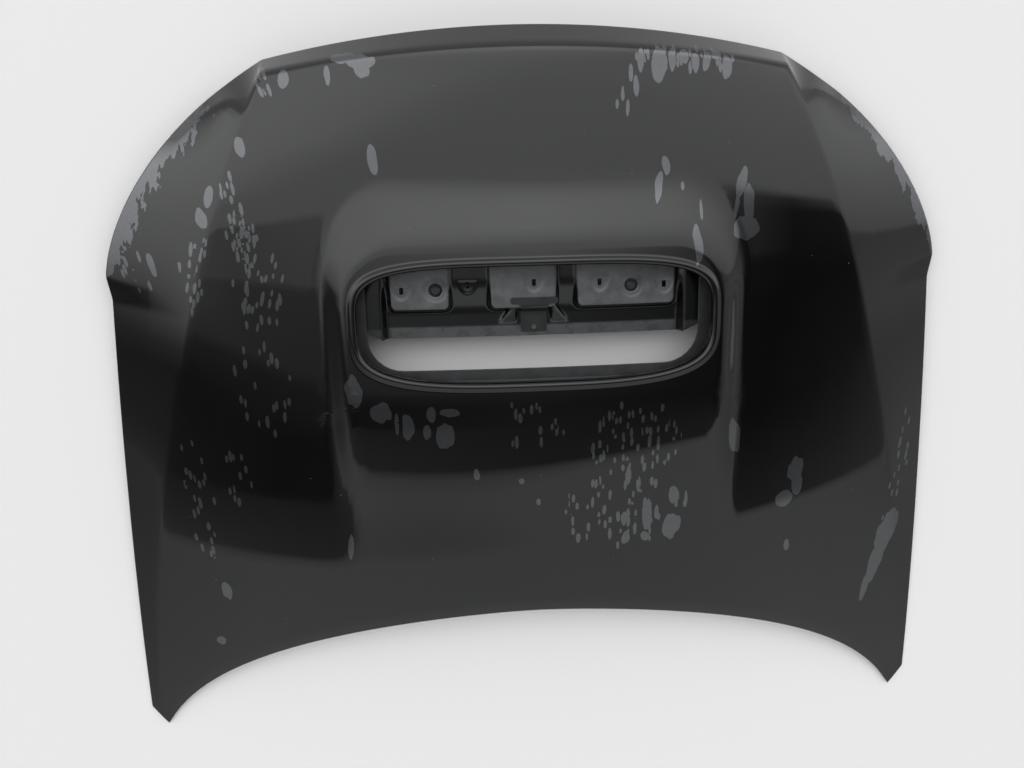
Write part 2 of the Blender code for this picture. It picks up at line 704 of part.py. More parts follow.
def scoop_window(offset=0.0):
    """The frame's window under the scoop opening, level with the member's flanges."""
    middle = (0.0, SCOOP_WINDOW_REAR + SCOOP_WINDOW_DEPTH / 2)
    size = (2 * SCOOP_WINDOW_HALF_WIDTH, SCOOP_WINDOW_DEPTH)
    flat = rounded_loop(turned_rectangle(middle, size, 0.0, 0.0), SCOOP_WINDOW_CORNER, offset, 5,
                        SCOOP_WINDOW_SPACING)
    return [place(p.x, p.y, member_level(p.x) + MEMBER_STACK) for p in flat]


def hinge_place(side):
    return side * HINGE_PLACE[0], HINGE_PLACE[1]


def hinge_height(surface):
    spot = place(*HINGE_PLACE)
    return surface.at(spot.x, spot.y)[0].z - HINGE_PAD_DROP


def striker_height(surface):
    spot = place(0.0, STRIKER_STATION)
    return surface.at(spot.x, spot.y)[0].z - STRIKER_PAD_DROP


def pad_loops(surface, centre, size, degrees, height):
    """A flat pad pressed in the frame: its outline at one height and the foot of its wall."""
    flat = [place(p.x, p.y, height) for p in turned_rectangle(centre, size, degrees, 0.0)]
    foot = []
    for p in turned_rectangle(centre, size, degrees, PAD_WALL):
        spot = place(p.x, p.y)
        spot.z = frame_height(surface, spot.x, spot.y, RIB_DEPTH)
        foot.append(spot)
    return [flat, foot]


def bolt_places(centre, pitch, degrees):
    turn = Matrix.Rotation(math.radians(degrees), 2)
    return [Vector(centre) + turn @ Vector((pitch / 2 * side, 0.0)) for side in (-1, 1)]


def bolt_holes(places, height):
    return [[place(p.x, p.y, height) for p in circle(spot, BOLT_RADIUS + BOLT_CLEARANCE)]
            for spot in places]


def make_frame(surface, spots, frames):
    """The inner frame: one pressed sheet with its flange in the hem, ribs and windows."""
    middle = HEM_RADIUS
    edge = [spot - normal * middle for spot, (_, normal) in zip(spots, frames)]
    flange = [sheet_point(surface, spot, out, FLANGE_WIDTH, middle)
              for spot, (out, _) in zip(spots, frames)]
    channel = []
    for spot, (out, _) in zip(spots, frames):
        flat = spot - out * (FLANGE_WIDTH + CHANNEL_WALL)
        hit, normal = surface.at(flat.x, flat.y)
        depth = max(min(RIB_DEPTH, (hit.z - FLOOR_CLEARANCE) / normal.z), RIM_DROP)
        channel.append(hit - normal * depth)
    loops, holes = [edge, flange, channel], []
    windows = [spread(MIDDLE_WINDOW)]
    for corners in (FRONT_WINDOW, SIDE_WINDOW, REAR_WINDOW):
        windows += [spread(corners), spread(corners, -1)]
    for corners in windows:
        rim, wall, foot = window_loops(surface, corners)
        holes.append(rim)
        loops += [wall, foot]
    holes.append(scoop_window())
    loops.append(scoop_window(MEMBER_OVERLAP + SCOOP_RIM_SPARE))
    for side in (-1, 1):
        height, turn = hinge_height(surface), side * HINGE_TURN
        loops += pad_loops(surface, hinge_place(side), HINGE_PAD, turn, height)
        holes += bolt_holes(bolt_places(hinge_place(side), HINGE_BOLT_PITCH, turn), height)
    height = striker_height(surface)
    loops += pad_loops(surface, (0.0, STRIKER_STATION), STRIKER_PAD, 0.0, height)
    holes += bolt_holes(bolt_places((0.0, STRIKER_STATION), STRIKER_BOLT_PITCH, 0.0), height)
    return pressed_sheet('inner_frame', loops, holes, FRAME_THICKNESS, (PRIMER_BLACK, 0.45))


def member_level(x):
    """Height of the member's pads and flanges, which follow the crown across."""
    return MEMBER_HEIGHT - x * x / (2 * MEMBER_CROWN_RADIUS)


def member_height(x, station):
    """Height of the scoop mounting member's middle surface."""
    level = member_level(x)
    fall = min(max((WALL_FRONT - station) / WALL_RUN, 0.0), 1.0)
    height = level - LEDGE_DROP * fall
    for left, right in VALLEYS:
        share = min((x - left) / VALLEY_SLOPE, (right - x) / VALLEY_SLOPE)
        height -= VALLEY_DROP * ease(share) * (1 - fall)
    return height


def half_round(centre, radius, count=8):
    """A half disc with its flat side to the nose."""
    return [Vector(centre) + Vector((radius * math.cos(a), radius * math.sin(a) * PAD_STRETCH))
            for a in (math.pi + math.pi * i / count for i in range(count + 1))]


def make_member():
    """The scoop mounting member: slotted half-round pads, dishes, a rear wall and a ledge."""
    half, front = SCOOP_WINDOW_HALF_WIDTH - WELL_SIDE, SCOOP_WINDOW_FRONT - WELL_FRONT

    def row(station, xs):
        return [place(x, station, member_height(x, station)) for x in xs]

    def column(x, stations):
        return [place(x, s, member_height(x, s)) for s in stations]

    columns = [(2 * i / MEMBER_COLUMNS - 1) * (half - WELL_SIDE) for i in range(MEMBER_COLUMNS + 1)]
    rim = [p - Vector((0.0, 0.0, MEMBER_STACK)) for p in scoop_window(MEMBER_OVERLAP)]
    outline = row(MEMBER_REAR, [*columns, half])
    outline += [p for p in rim if p.y > place(0.0, MEMBER_REAR + MEMBER_SHOULDER).y]
    outline += row(MEMBER_REAR, [-half])
    stations = (MEMBER_REAR + LEDGE_EDGE, LEDGE_FRONT, WALL_FRONT, VALLEY_MIDDLE)
    level = row(stations[0], columns) + column(half, stations)
    level += row(front, reversed(columns)) + column(-half, reversed(stations))
    loops, holes = [outline, level], []
    brinks = [x for left, right in VALLEYS for x in (left, left + VALLEY_SLOPE, right - VALLEY_SLOPE, right)]
    for station in (LEDGE_FRONT, WALL_FRONT):
        loops.append(row(station, sorted(columns + brinks)))
    for x in brinks:
        loops.append(column(x, (WALL_FRONT, VALLEY_MIDDLE, front)))
    for index in range(-2, 3):
        centre = Vector((index * PAD_PITCH, PAD_STATION - PAD_SAG * (index / 2) ** 2))
        for inset, drop in ((0.0, 0.0), (PAD_RIM, PAD_DROP)):
            flat_side = centre + Vector((0.0, PAD_RADIUS / 2 - inset))
            loops.append([place(p.x, p.y, member_height(p.x, p.y) - drop)
                          for p in half_round(flat_side, PAD_RADIUS - inset)])
        slot = rounded_loop(turned_rectangle(centre, (SLOT_WIDTH, SLOT_LENGTH), 0, 0), SLOT_CORNER, 0.0, 1)
        holes.append([place(p.x, p.y, member_height(p.x, p.y) - PAD_DROP) for p in slot])
    for side in (-1, 1):
        for inset, drop in ((0.0, 0.0), (DISH_RIM, DISH_DROP)):
            loops.append([place(p.x, p.y, member_height(side * DISH_OFFSET, p.y) - drop)
                          for p in circle((side * DISH_OFFSET, DISH_STATION), DISH_RADIUS - inset)])
    holes.append([place(p.x, p.y, member_height(p.x, p.y))
                  for p in circle((0.0, BRACKET_HOLE_STATION), BRACKET_HOLE_RADIUS)])
    return pressed_sheet('scoop_mounting_member', loops, holes, MEMBER_THICKNESS, (PRIMER_BLACK, 0.4))


def lathe(name, profile, centre, look, segments=16):
    """A turned piece from (radius, height) pairs, closed on its axis or round a bore."""
    bm = bmesh.new()
    verts = [bm.verts.new((radius, 0.0, height)) for radius, height in profile]
    edges = [bm.edges.new((a, b)) for a, b in zip(verts, verts[1:])]
    if profile[0][0] > 1e-6:
        edges.append(bm.edges.new((verts[-1], verts[0])))
    bmesh.ops.spin(bm, geom=verts + edges, cent=(0, 0, 0), axis=(0, 0, 1), angle=math.tau,
                   steps=segments, use_merge=True)
    bmesh.ops.remove_doubles(bm, verts=bm.verts, dist=1e-6)
    bmesh.ops.recalc_face_normals(bm, faces=bm.faces)
    bmesh.ops.translate(bm, verts=bm.verts, vec=Vector(centre))
    return add_object(name, bm, look)


def make_studs():
    for side, word in ((-1, 'left'), (1, 'right')):
        foot = member_height(side * DISH_OFFSET, DISH_STATION) - DISH_DROP
        foot += MEMBER_THICKNESS / 2 + SEAT_GAP
        centre = place(side * DISH_OFFSET, DISH_STATION, foot)
        top = STUD_HEIGHT
        profile = ((0.0, 0.0), (STUD_RADIUS * 0.8, 0.0), (STUD_RADIUS, top * 0.2), (STUD_RADIUS, top * 0.75),
                   (STUD_RADIUS * 0.72, top), (0.0, top))
        lathe('scoop_stud_' + word, profile, centre, (PLASTIC_BLACK, 0.5))


def make_bracket():
    """The T-shaped bracket that stands on the member's ledge and wall."""
    lift = (MEMBER_THICKNESS + BRACKET_THICKNESS) / 2 + SEAT_GAP
    wide, stem = BRACKET_HALF_WIDTH, BRACKET_STEM_HALF_WIDTH

    # The sheet's offset at the two bends leans towards the rear, half way to the wall's normal
    wall = Vector((-LEDGE_DROP, WALL_RUN)).normalized()
    bend = (wall + Vector((0.0, 1.0))) / (1 + wall.y)

    def bracket_point(x, station):
        offset = bend if station in (LEDGE_FRONT, WALL_FRONT) else Vector((0.0, 1.0))
        return place(x, station + lift * offset.x, member_height(0.0, station) + lift * offset.y)

    stations = (BRACKET_REAR, LEDGE_FRONT, WALL_FRONT, BRACKET_SHOULDER)
    outline = [bracket_point(stem, s) for s in stations]
    outline += [bracket_point(wide, s) for s in (BRACKET_SHOULDER, BRACKET_FRONT)]
    outline += [bracket_point(-wide, s) for s in (BRACKET_FRONT, BRACKET_SHOULDER)]
    outline += [bracket_point(-stem, s) for s in reversed(stations)]
    hole = [bracket_point(p.x, p.y) for p in circle((0.0, BRACKET_HOLE_STATION), BRACKET_HOLE_RADIUS)]
    return pressed_sheet('centre_bracket', [outline], [hole], BRACKET_THICKNESS, (PRIMER_BLACK, 0.4))


def plate(name, centre, size, degrees, low, thickness, places, look, hole=BOLT_RADIUS + BOLT_CLEARANCE):
    """A flat plate with round holes; low is its underside."""
    outline = rounded_loop(turned_rectangle(centre, size, degrees, 0.0), 0.006, 0.0, 2)
    height = low + thickness / 2
    holes = [[place(p.x, p.y, height) for p in circle(spot, hole)] for spot in places]
    return pressed_sheet(name, [[place(p.x, p.y, height) for p in outline]], holes, thickness, look)


def nut(name, centre, low):
    """A weld nut round a clear bore."""
    bore = (BOLT_RADIUS + BOLT_CLEARANCE) / math.cos(math.pi / 6)
    profile = ((bore, 0.0), (NUT_RADIUS, 0.0), (NUT_RADIUS, NUT_HEIGHT), (bore, NUT_HEIGHT))
    lathe(name, profile, place(centre.x, centre.y, low), (ZINC, 0.35, 0.8), segments=6)


def make_hinge_plates(surface):
    low = hinge_height(surface) + FRAME_THICKNESS / 2 + SEAT_GAP
    for side, word in ((-1, 'left'), (1, 'right')):
        turn = side * HINGE_TURN
        places = bolt_places(hinge_place(side), HINGE_BOLT_PITCH, turn)
        size = (HINGE_PAD[0] - 0.012, HINGE_PAD[1] - 0.010)
        plate('hinge_plate_' + word, hinge_place(side), size, turn, low, HINGE_PLATE_THICKNESS, places,
              (PRIMER_BLACK, 0.5))
        for spot, which in zip(places, ('inner', 'outer') if side > 0 else ('outer', 'inner')):
            nut('hinge_nut_%s_%s' % (word, which), spot, low + HINGE_PLATE_THICKNESS + SEAT_GAP)


def make_striker(surface):
    """Striker brace and nuts above the frame, and the bolted striker plate with its wire loop below."""
    centre = (0.0, STRIKER_STATION)
    pad = striker_height(surface)
    places = bolt_places(centre, STRIKER_BOLT_PITCH, 0.0)
    brace_low = pad + FRAME_THICKNESS / 2 + SEAT_GAP
    size = (STRIKER_PAD[0] - 0.014, STRIKER_PAD[1] - 0.010)
    plate('striker_brace', centre, size, 0.0, brace_low, STRIKER_BRACE_THICKNESS, places, (PRIMER_BLACK, 0.5))
    plate_top = pad - FRAME_THICKNESS / 2 - SEAT_GAP
    legs = bolt_places(centre, STRIKER_LOOP_SPAN, 0.0)
    bore = STRIKER_WIRE_RADIUS + SEAT_GAP
    outline = rounded_loop(turned_rectangle(centre, STRIKER_PLATE, 0.0, 0.0), 0.008, 0.0, 2)
    height = plate_top - STRIKER_PLATE_THICKNESS / 2
    holes = [[place(p.x, p.y, height) for p in circle(spot, BOLT_RADIUS + BOLT_CLEARANCE)] for spot in places]
    holes += [[place(p.x, p.y, height) for p in circle(spot, bore / math.cos(math.pi / 12))] for spot in legs]
    pressed_sheet('striker_plate', [[place(p.x, p.y, height) for p in outline]], holes,
                  STRIKER_PLATE_THICKNESS, (ZINC, 0.35, 0.8))
    make_striker_loop(plate_top)
    nut_low = brace_low + STRIKER_BRACE_THICKNESS + SEAT_GAP
    head_top = plate_top - STRIKER_PLATE_THICKNESS - SEAT_GAP
    for spot, word in zip(places, ('left', 'right')):
        nut('striker_nut_' + word, spot, nut_low)
        reach = nut_low + NUT_HEIGHT - head_top
        profile = ((0.0, -BOLT_HEAD_HEIGHT), (BOLT_HEAD_RADIUS, -BOLT_HEAD_HEIGHT), (BOLT_HEAD_RADIUS, 0.0),
                   (BOLT_RADIUS, 0.0), (BOLT_RADIUS, reach), (0.0, reach))
        lathe('striker_bolt_' + word, profile, place(spot.x, spot.y, head_top), (ZINC, 0.35, 0.8), segments=12)


def make_striker_loop(top):
    """The round wire loop that hangs from the striker plate."""
    half, drop, bend = STRIKER_LOOP_SPAN / 2, STRIKER_LOOP_DROP, 0.012
    route = [(-half, 0.0), (-half, bend - drop)]
    route += [(-half + bend - bend * math.cos(a), bend - drop - bend * math.sin(a))
              for a in (math.pi / 2 * i / 4 for i in range(1, 5))]
    route += [(-x, z) for x, z in reversed(route)]
    curve = bpy.data.curves.new('striker_loop', 'CURVE')
    curve.dimensions = '3D'
    curve.bevel_depth = STRIKER_WIRE_RADIUS
    curve.bevel_resolution = 2
    curve.use_fill_caps = True
    wire = curve.splines.new('POLY')
    wire.points.add(len(route) - 1)
    for point, (x, z) in zip(wire.points, route):
        point.co = (*place(x, STRIKER_STATION, top + z), 1.0)
    made = bpy.data.objects.new('striker_loop', curve)
    curve.materials.append(material('striker_loop_finish', ZINC, 0.35, 0.8))
    BONNET.objects.link(made)


def make_mastic(surface):
    """Mastic pads between the frame's raised rims and the skin."""
    height = RIM_DROP - (SKIN_THICKNESS + FRAME_THICKNESS) / 2 - 2 * MASTIC_GAP
    depth = (RIM_DROP + (SKIN_THICKNESS - FRAME_THICKNESS) / 2) / 2
    for number, (across, ahead, degrees) in enumerate(MASTIC_PLACES, 1):
        for side, word in ((-1, 'left'), (1, 'right')):
            spot = place(side * across * TIP_HALF_WIDTH, ahead * LENGTH)
            hit, normal = surface.at(spot.x, spot.y)
            bm = bmesh.new()
            bmesh.ops.create_cube(bm, size=1.0)
            bmesh.ops.scale(bm, verts=bm.verts, vec=(*MASTIC_SIZE, height))
            upright = [edge for edge in bm.edges if abs(edge.verts[0].co.z - edge.verts[1].co.z) > 1e-6]
            bmesh.ops.bevel(bm, geom=upright, offset=MASTIC_ROUNDING, segments=2, affect='EDGES',
                            profile=0.5, material=-1)
            lean = Vector((0, 0, 1)).rotation_difference(normal).to_matrix().to_4x4()
            turn = Matrix.Rotation(math.radians(side * degrees), 4, 'Z')
            bmesh.ops.transform(bm, matrix=Matrix.Translation(hit - normal * depth) @ lean @ turn,
                                verts=bm.verts)
            add_object('mastic_pad_%s_%d' % (word, number), bm, (MASTIC_GREY, 0.8))


def seat_on_floor():
    """Lower the whole bonnet so that its lowest point is at height zero."""
    graph = bpy.context.evaluated_depsgraph_get()
    skin = BONNET.objects['outer_skin'].evaluated_get(graph)
    mesh = skin.to_mesh()
    low = min(vert.co.z for vert in mesh.vertices)
    skin.to_mesh_clear()
    for made in BONNET.objects:
        made.location.z -= low


def main():
    surface, spots, frames = make_skin()
    make_frame(surface, spots, frames)
    make_member()
    make_bracket()
    make_studs()
    make_hinge_plates(surface)
    make_striker(surface)
    make_mastic(surface)
    seat_on_floor()


main()
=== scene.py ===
import math
import random
import bmesh
import bpy
from mathutils import Matrix, Vector, kdtree, noise
from mathutils.bvhtree import BVHTree
from mathutils.geometry import delaunay_2d_cdt


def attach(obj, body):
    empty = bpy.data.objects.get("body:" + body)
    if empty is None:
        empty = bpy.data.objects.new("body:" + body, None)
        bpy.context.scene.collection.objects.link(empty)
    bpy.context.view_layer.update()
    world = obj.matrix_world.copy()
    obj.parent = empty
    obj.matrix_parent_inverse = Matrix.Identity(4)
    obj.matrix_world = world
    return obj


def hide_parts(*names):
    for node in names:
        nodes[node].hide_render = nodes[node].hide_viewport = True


# A stained gloss black car bonnet, lying skin up on a pale studio floor.
# X runs across the car, +Y to the nose, +Z out of the paint. Stations run forward from the rear tips.

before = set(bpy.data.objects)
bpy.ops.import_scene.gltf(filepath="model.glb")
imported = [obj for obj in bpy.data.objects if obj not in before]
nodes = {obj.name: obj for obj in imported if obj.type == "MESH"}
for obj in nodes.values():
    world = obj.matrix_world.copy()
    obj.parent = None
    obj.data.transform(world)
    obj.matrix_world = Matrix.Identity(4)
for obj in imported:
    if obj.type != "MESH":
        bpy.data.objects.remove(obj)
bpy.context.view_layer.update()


# Maths for the pressed shapes

def mix(a, b, share):
    return a + (b - a) * share


def ease(share):
    share = min(max(share, 0.0), 1.0)
    return share * share * (3 - 2 * share)


def smoothTable(table, key):
    # a rounded curve through (key, value) rows, largest key first
    if key >= table[0][0]:
        return table[0][1]
    for i in range(len(table) - 1):
        (k1, v1), (k0, v0) = table[i], table[i + 1]
        if key >= k0:
            t = (key - k0) / (k1 - k0)
            before = table[min(i + 2, len(table) - 1)]
            after = table[max(i - 1, 0)]
            m0 = (v1 - before[1]) / (k1 - before[0]) * (k1 - k0) if before[0] != k0 else v1 - v0
            m1 = (after[1] - v0) / (after[0] - k0) * (k1 - k0) if after[0] != k1 else v1 - v0
            return ((2 * t ** 3 - 3 * t * t + 1) * v0 + (t ** 3 - 2 * t * t + t) * m0
                    + (3 * t * t - 2 * t ** 3) * v1 + (t ** 3 - t * t) * m1)
    return table[-1][1]


def bezier(start, heading, reach, end, endHeading, endReach, count=120):
    p0, p3 = Vector(start), Vector(end)
    p1 = p0 + reach * Vector((math.cos(math.radians(heading)), math.sin(math.radians(heading))))
    p2 = p3 - endReach * Vector((math.cos(math.radians(endHeading)), math.sin(math.radians(endHeading))))
    return [(1 - t) ** 3 * p0 + 3 * t * (1 - t) ** 2 * p1 + 3 * t * t * (1 - t) * p2 + t ** 3 * p3
            for t in (i / count for i in range(count + 1))]


def along(rail, share):
    lengths = [(b - a).length for a, b in zip(rail, rail[1:])]
    left = min(max(share, 0.0), 1.0) * sum(lengths)
    for a, b, length in zip(rail, rail[1:], lengths):
        if left <= length:
            return a.lerp(b, left / length)
        left -= length
    return rail[-1].copy()


# The outer skin's sizes, as in the solid model, in metres
panel = {
    "length": 1.287, "seat": -0.00186,
    "noseHalf": 0.444, "noseSweep": 0.044, "faceLength": 0.037, "faceSweep": 0.034, "faceTaper": 0.007,
    "lampHalf": 0.737, "lampLength": 0.353, "stepIn": 0.006, "stepLength": 0.040,
    "tipHalf": 0.765, "tipBlunt": 0.029, "tipSlant": 0.036, "rearHollow": 0.254,
    "crown": 0.125, "crest": 0.630, "frontRadius": 6.4, "rearRadius": 3.0,
    "rearRoll": 0.005, "rollWidth": 0.026,
    "noseEdge": 0.045, "cornerEdge": 0.004, "stripSlope": 0.40, "wrapStart": 0.049, "wrapLength": 0.140,
    "creaseHeights": ((0.945, 0.062), (0.905, 0.068), (0.834, 0.077), (0.747, 0.084), (0.657, 0.081),
                      (0.513, 0.064), (0.355, 0.045), (0.239, 0.029), (0.028, 0.008), (0.0, 0.007)),
    "edgeHeights": ((0.966, 0.004), (0.936, 0.013), (0.909, 0.024), (0.847, 0.029), (0.769, 0.027),
                    (0.692, 0.024), (0.544, 0.020), (0.350, 0.013), (0.155, 0.007), (0.028, 0.0045)),
    "openHalf": 0.300, "openRear": 0.7045, "openDepth": 0.196, "frontSquare": 4.2, "rearSquare": 3.5,
    "bulge": 0.022, "bulgeCorner": 0.070, "bulgeRamp": 0.050, "bulgeFrontRamp": 0.130, "bulgeFade": 0.360,
    "shoulder": 0.016,           # level strip between the opening and the bulge's fall
    "skin": 0.0008, "frame": 0.0007, "gap": 0.0004, "hem": 0.011, "foldSteps": 5,
    "lampBehind": 0.030,         # the crease's rows reach the lamp edge's end this far behind it
    "creaseSoft": 0.005,         # half width of the rounding along the creases
    "noseRoll": 0.0009, "noseRollWidth": 0.024,  # the panel turns down a little before the nose crease
}
# The rolled lip round the opening: distance outside the opening's outline and rise over the shoulder
lip = {
    "apron": 8,                  # rings that lead from the block's border to the first ring
    "rings": (0.050, 0.045, 0.040, 0.035, 0.031, 0.027, 0.0235, 0.0205, 0.0180, 0.0165),
    "profile": ((0.0145, 0.0003), (0.0125, 0.0013), (0.0110, 0.0023), (0.0095, 0.0032), (0.0080, 0.0038),
                (0.0062, 0.0040), (0.0045, 0.0037), (0.0028, 0.0029), (0.0014, 0.0017), (0.0005, 0.0003),
                (0.0, -0.0015), (0.0, -0.0050), (0.0, -0.0090), (0.0, -0.0130)),
}
mesh = {"inner": 35, "outer": 22, "rows": (22, 25, 25, 30), "blockShare": 0.63, "blockMargin": 0.060,
        "blockSkew": 0.015, "edgeStrip": 0.013, "noseCrowding": 1.35, "lastColumn": 0.992, "mitre": 0.66,
        "sharp": 50,
        "blockColumns": (0.0, 0.20, 0.40, 0.60, 0.78, 0.86, 0.93, 1.0)}

noseCorner = (panel["noseHalf"], panel["length"] - panel["noseSweep"])
featureStation = panel["length"] - panel["faceLength"]
featureCorner = (panel["noseHalf"] - panel["faceTaper"], featureStation - panel["faceSweep"])
lampEnd = (panel["lampHalf"], noseCorner[1] - panel["lampLength"])
stepEnd = (panel["lampHalf"] - panel["stepIn"], lampEnd[1] - panel["stepLength"])
tipOuter = (panel["tipHalf"], panel["tipSlant"])
tipInner = (panel["tipHalf"] - panel["tipBlunt"], 0.0)
tipMiddle = (panel["tipHalf"] - panel["tipBlunt"] / 2, panel["tipSlant"] / 2)
openMiddle = panel["openRear"] + panel["openDepth"] / 2
openFront = panel["openRear"] + panel["openDepth"]
blockFront, blockRear = openFront + mesh["blockMargin"], panel["openRear"] - mesh["blockMargin"]
creaseLampStation = lampEnd[1] - panel["lampBehind"]
hemRadius = (panel["skin"] + panel["frame"]) / 2 + panel["gap"]

lampRail = bezier(noseCorner, -31, 0.20, lampEnd, -81.5, 0.105)
sideRail = [Vector(lampEnd)] + bezier(stepEnd, -86, 0.27, tipOuter, -90, 0.26)
creaseRail = bezier(featureCorner, -65, 0.35, tipMiddle, -86, 0.40)
rearRail = bezier((0.0, panel["rearHollow"]), 0, 0.139, tipInner, -59, 0.254) + [Vector(tipMiddle)]
rearLengths = [(b - a).length for a, b in zip(rearRail, rearRail[1:])]
tipShare = 1 - rearLengths[-1] / sum(rearLengths)


def place(x, station, z=0.0):
    return Vector((x, station - panel["length"] / 2, z + panel["seat"]))


def creaseHalf(station):
    for front, rear in zip(creaseRail, creaseRail[1:]):
        if station >= rear.y or rear is creaseRail[-1]:
            return mix(rear.x, front.x, min((station - rear.y) / (front.y - rear.y), 2.0))
    return creaseRail[-1].x


def rearStation(x):
    for inner, outer in zip(rearRail, rearRail[1:]):
        if abs(x) <= outer.x:
            return mix(inner.y, outer.y, (abs(x) - inner.x) / (outer.x - inner.x))
    return 0.0


def bulge(x, station):
    corner = panel["bulgeCorner"]
    across = max(abs(x) - (panel["openHalf"] - corner), 0.0)
    ahead = max(station - (openFront - corner), 0.0)
    away = math.hypot(across, ahead)
    ramp = mix(panel["bulgeRamp"], panel["bulgeFrontRamp"], (ahead / away) ** 2 if away else 0.0)
    side = 1 - ease((away - corner - panel["shoulder"]) / ramp)
    t = min(max((panel["openRear"] - panel["shoulder"] - station) / panel["bulgeFade"], 0.0), 1.0)
    return panel["bulge"] * side * (1 - t) ** 3 * (1 + 3 * t)


def topHeight(x, station):
    off = station - panel["crest"]
    middle = panel["crown"] - off ** 2 / (2 * (panel["frontRadius"] if off > 0 else panel["rearRadius"]))
    side = smoothTable(panel["creaseHeights"], station / panel["length"])
    share = x / creaseHalf(station)
    roll = 1 - (station - rearStation(x)) / panel["rollWidth"]
    drop = panel["rearRoll"] * max(roll, 0.0) ** 2 * (1 - share ** 2)
    front = 1 - (featureStation - panel["faceSweep"] * share ** 2 - station) / panel["noseRollWidth"]
    drop += panel["noseRoll"] * max(front, 0.0) ** 2
    return mix(middle, side, share ** 2) + bulge(x, station) - drop


# The outer skin as one pressed sheet: a fine grid bent to shape, rings out to the hem and in to the lip

def blockShareAt(step):
    # share of the opening block's half width for a column counted from the centre line
    at = step / mesh["inner"] * (len(mesh["blockColumns"]) - 1)
    low = min(int(at), len(mesh["blockColumns"]) - 2)
    return mix(mesh["blockColumns"][low], mesh["blockColumns"][low + 1], at - low)


def columnShare(step):
    size, inner, outer = abs(step), mesh["inner"], mesh["outer"]
    if size <= inner:
        share = mesh["blockShare"] * blockShareAt(size)
    elif size == inner + outer:
        share = 1.0
    elif size == inner + outer - 1:
        share = mesh["lastColumn"]
    else:
        share = mix(mesh["blockShare"], tipShare, (size - inner) / (outer - 2))
    return math.copysign(share, step)


def rowPairs():
    # stations of each row on the centre line and on the crease, nose to rear
    ends = [(featureStation, featureCorner[1]), (blockFront, blockFront + mesh["blockSkew"]),
            (openMiddle, openMiddle), (blockRear, blockRear - mesh["blockSkew"]),
            (panel["rearHollow"] + panel["rollWidth"], tipMiddle[1] + panel["rollWidth"])]
    rows = []
    for start, end, count in zip(ends, ends[1:], mesh["rows"]):
        for step in range(count):
            share = step / count
            if start is ends[0]:
                share **= mesh["noseCrowding"]
            rows.append((mix(start[0], end[0], share), mix(start[1], end[1], share)))
    for back in (1.0, 0.75, 0.5, 0.25, 0.1, 0.0):
        rows.append((panel["rearHollow"] + panel["rollWidth"] * back,
                     tipMiddle[1] + panel["rollWidth"] * back))
    return rows


pairs = rowPairs()
rowCount = len(pairs) - 1
halfColumns = mesh["inner"] + mesh["outer"]
width = 2 * halfColumns + 1


def gridPlan(step, row):
    share = columnShare(step)
    size = abs(share)
    middle, side = pairs[row]
    front = max(0.0, (middle - blockFront) / (featureStation - blockFront))
    back = max(0.0, (blockRear - middle) / (blockRear - panel["rearHollow"]))
    rear = along(rearRail, size)
    frontBow = featureStation - panel["faceSweep"] * size ** 2 - mix(featureStation, featureCorner[1], size)
    rearBow = rear.y - mix(panel["rearHollow"], tipMiddle[1], size)
    x = size * creaseHalf(side) + back * (rear.x - size * tipMiddle[0])
    return math.copysign(x, share), mix(middle, side, size) + front * frontBow + back * rearBow


def ringPlan(step, row, offset):
    # the opening's outline seen along the ray from its middle through the block's border
    u = math.copysign(blockShareAt(abs(step)), step)
    v = 1 - (row - mesh["rows"][0]) / mesh["rows"][1]
    square = panel["frontSquare"] if v > 0 else panel["rearSquare"]
    reach = (abs(u) ** square + abs(v) ** square) ** (-1 / square)
    return ((panel["openHalf"] + offset) * u * reach,
            openMiddle + (panel["openDepth"] / 2 + offset) * v * reach)


# Where the band between the crease and the panel's edge turns down, as a share of its width: on the
# nose face, at the corner, along the wrap and towards the tips
brinks = {"face": 0.45, "corner": 0.12, "wrap": 0.85, "tip": 0.50, "faceRun": 0.35, "tipRun": 0.50,
          "slopeRun": 0.12, "soft": 0.003}


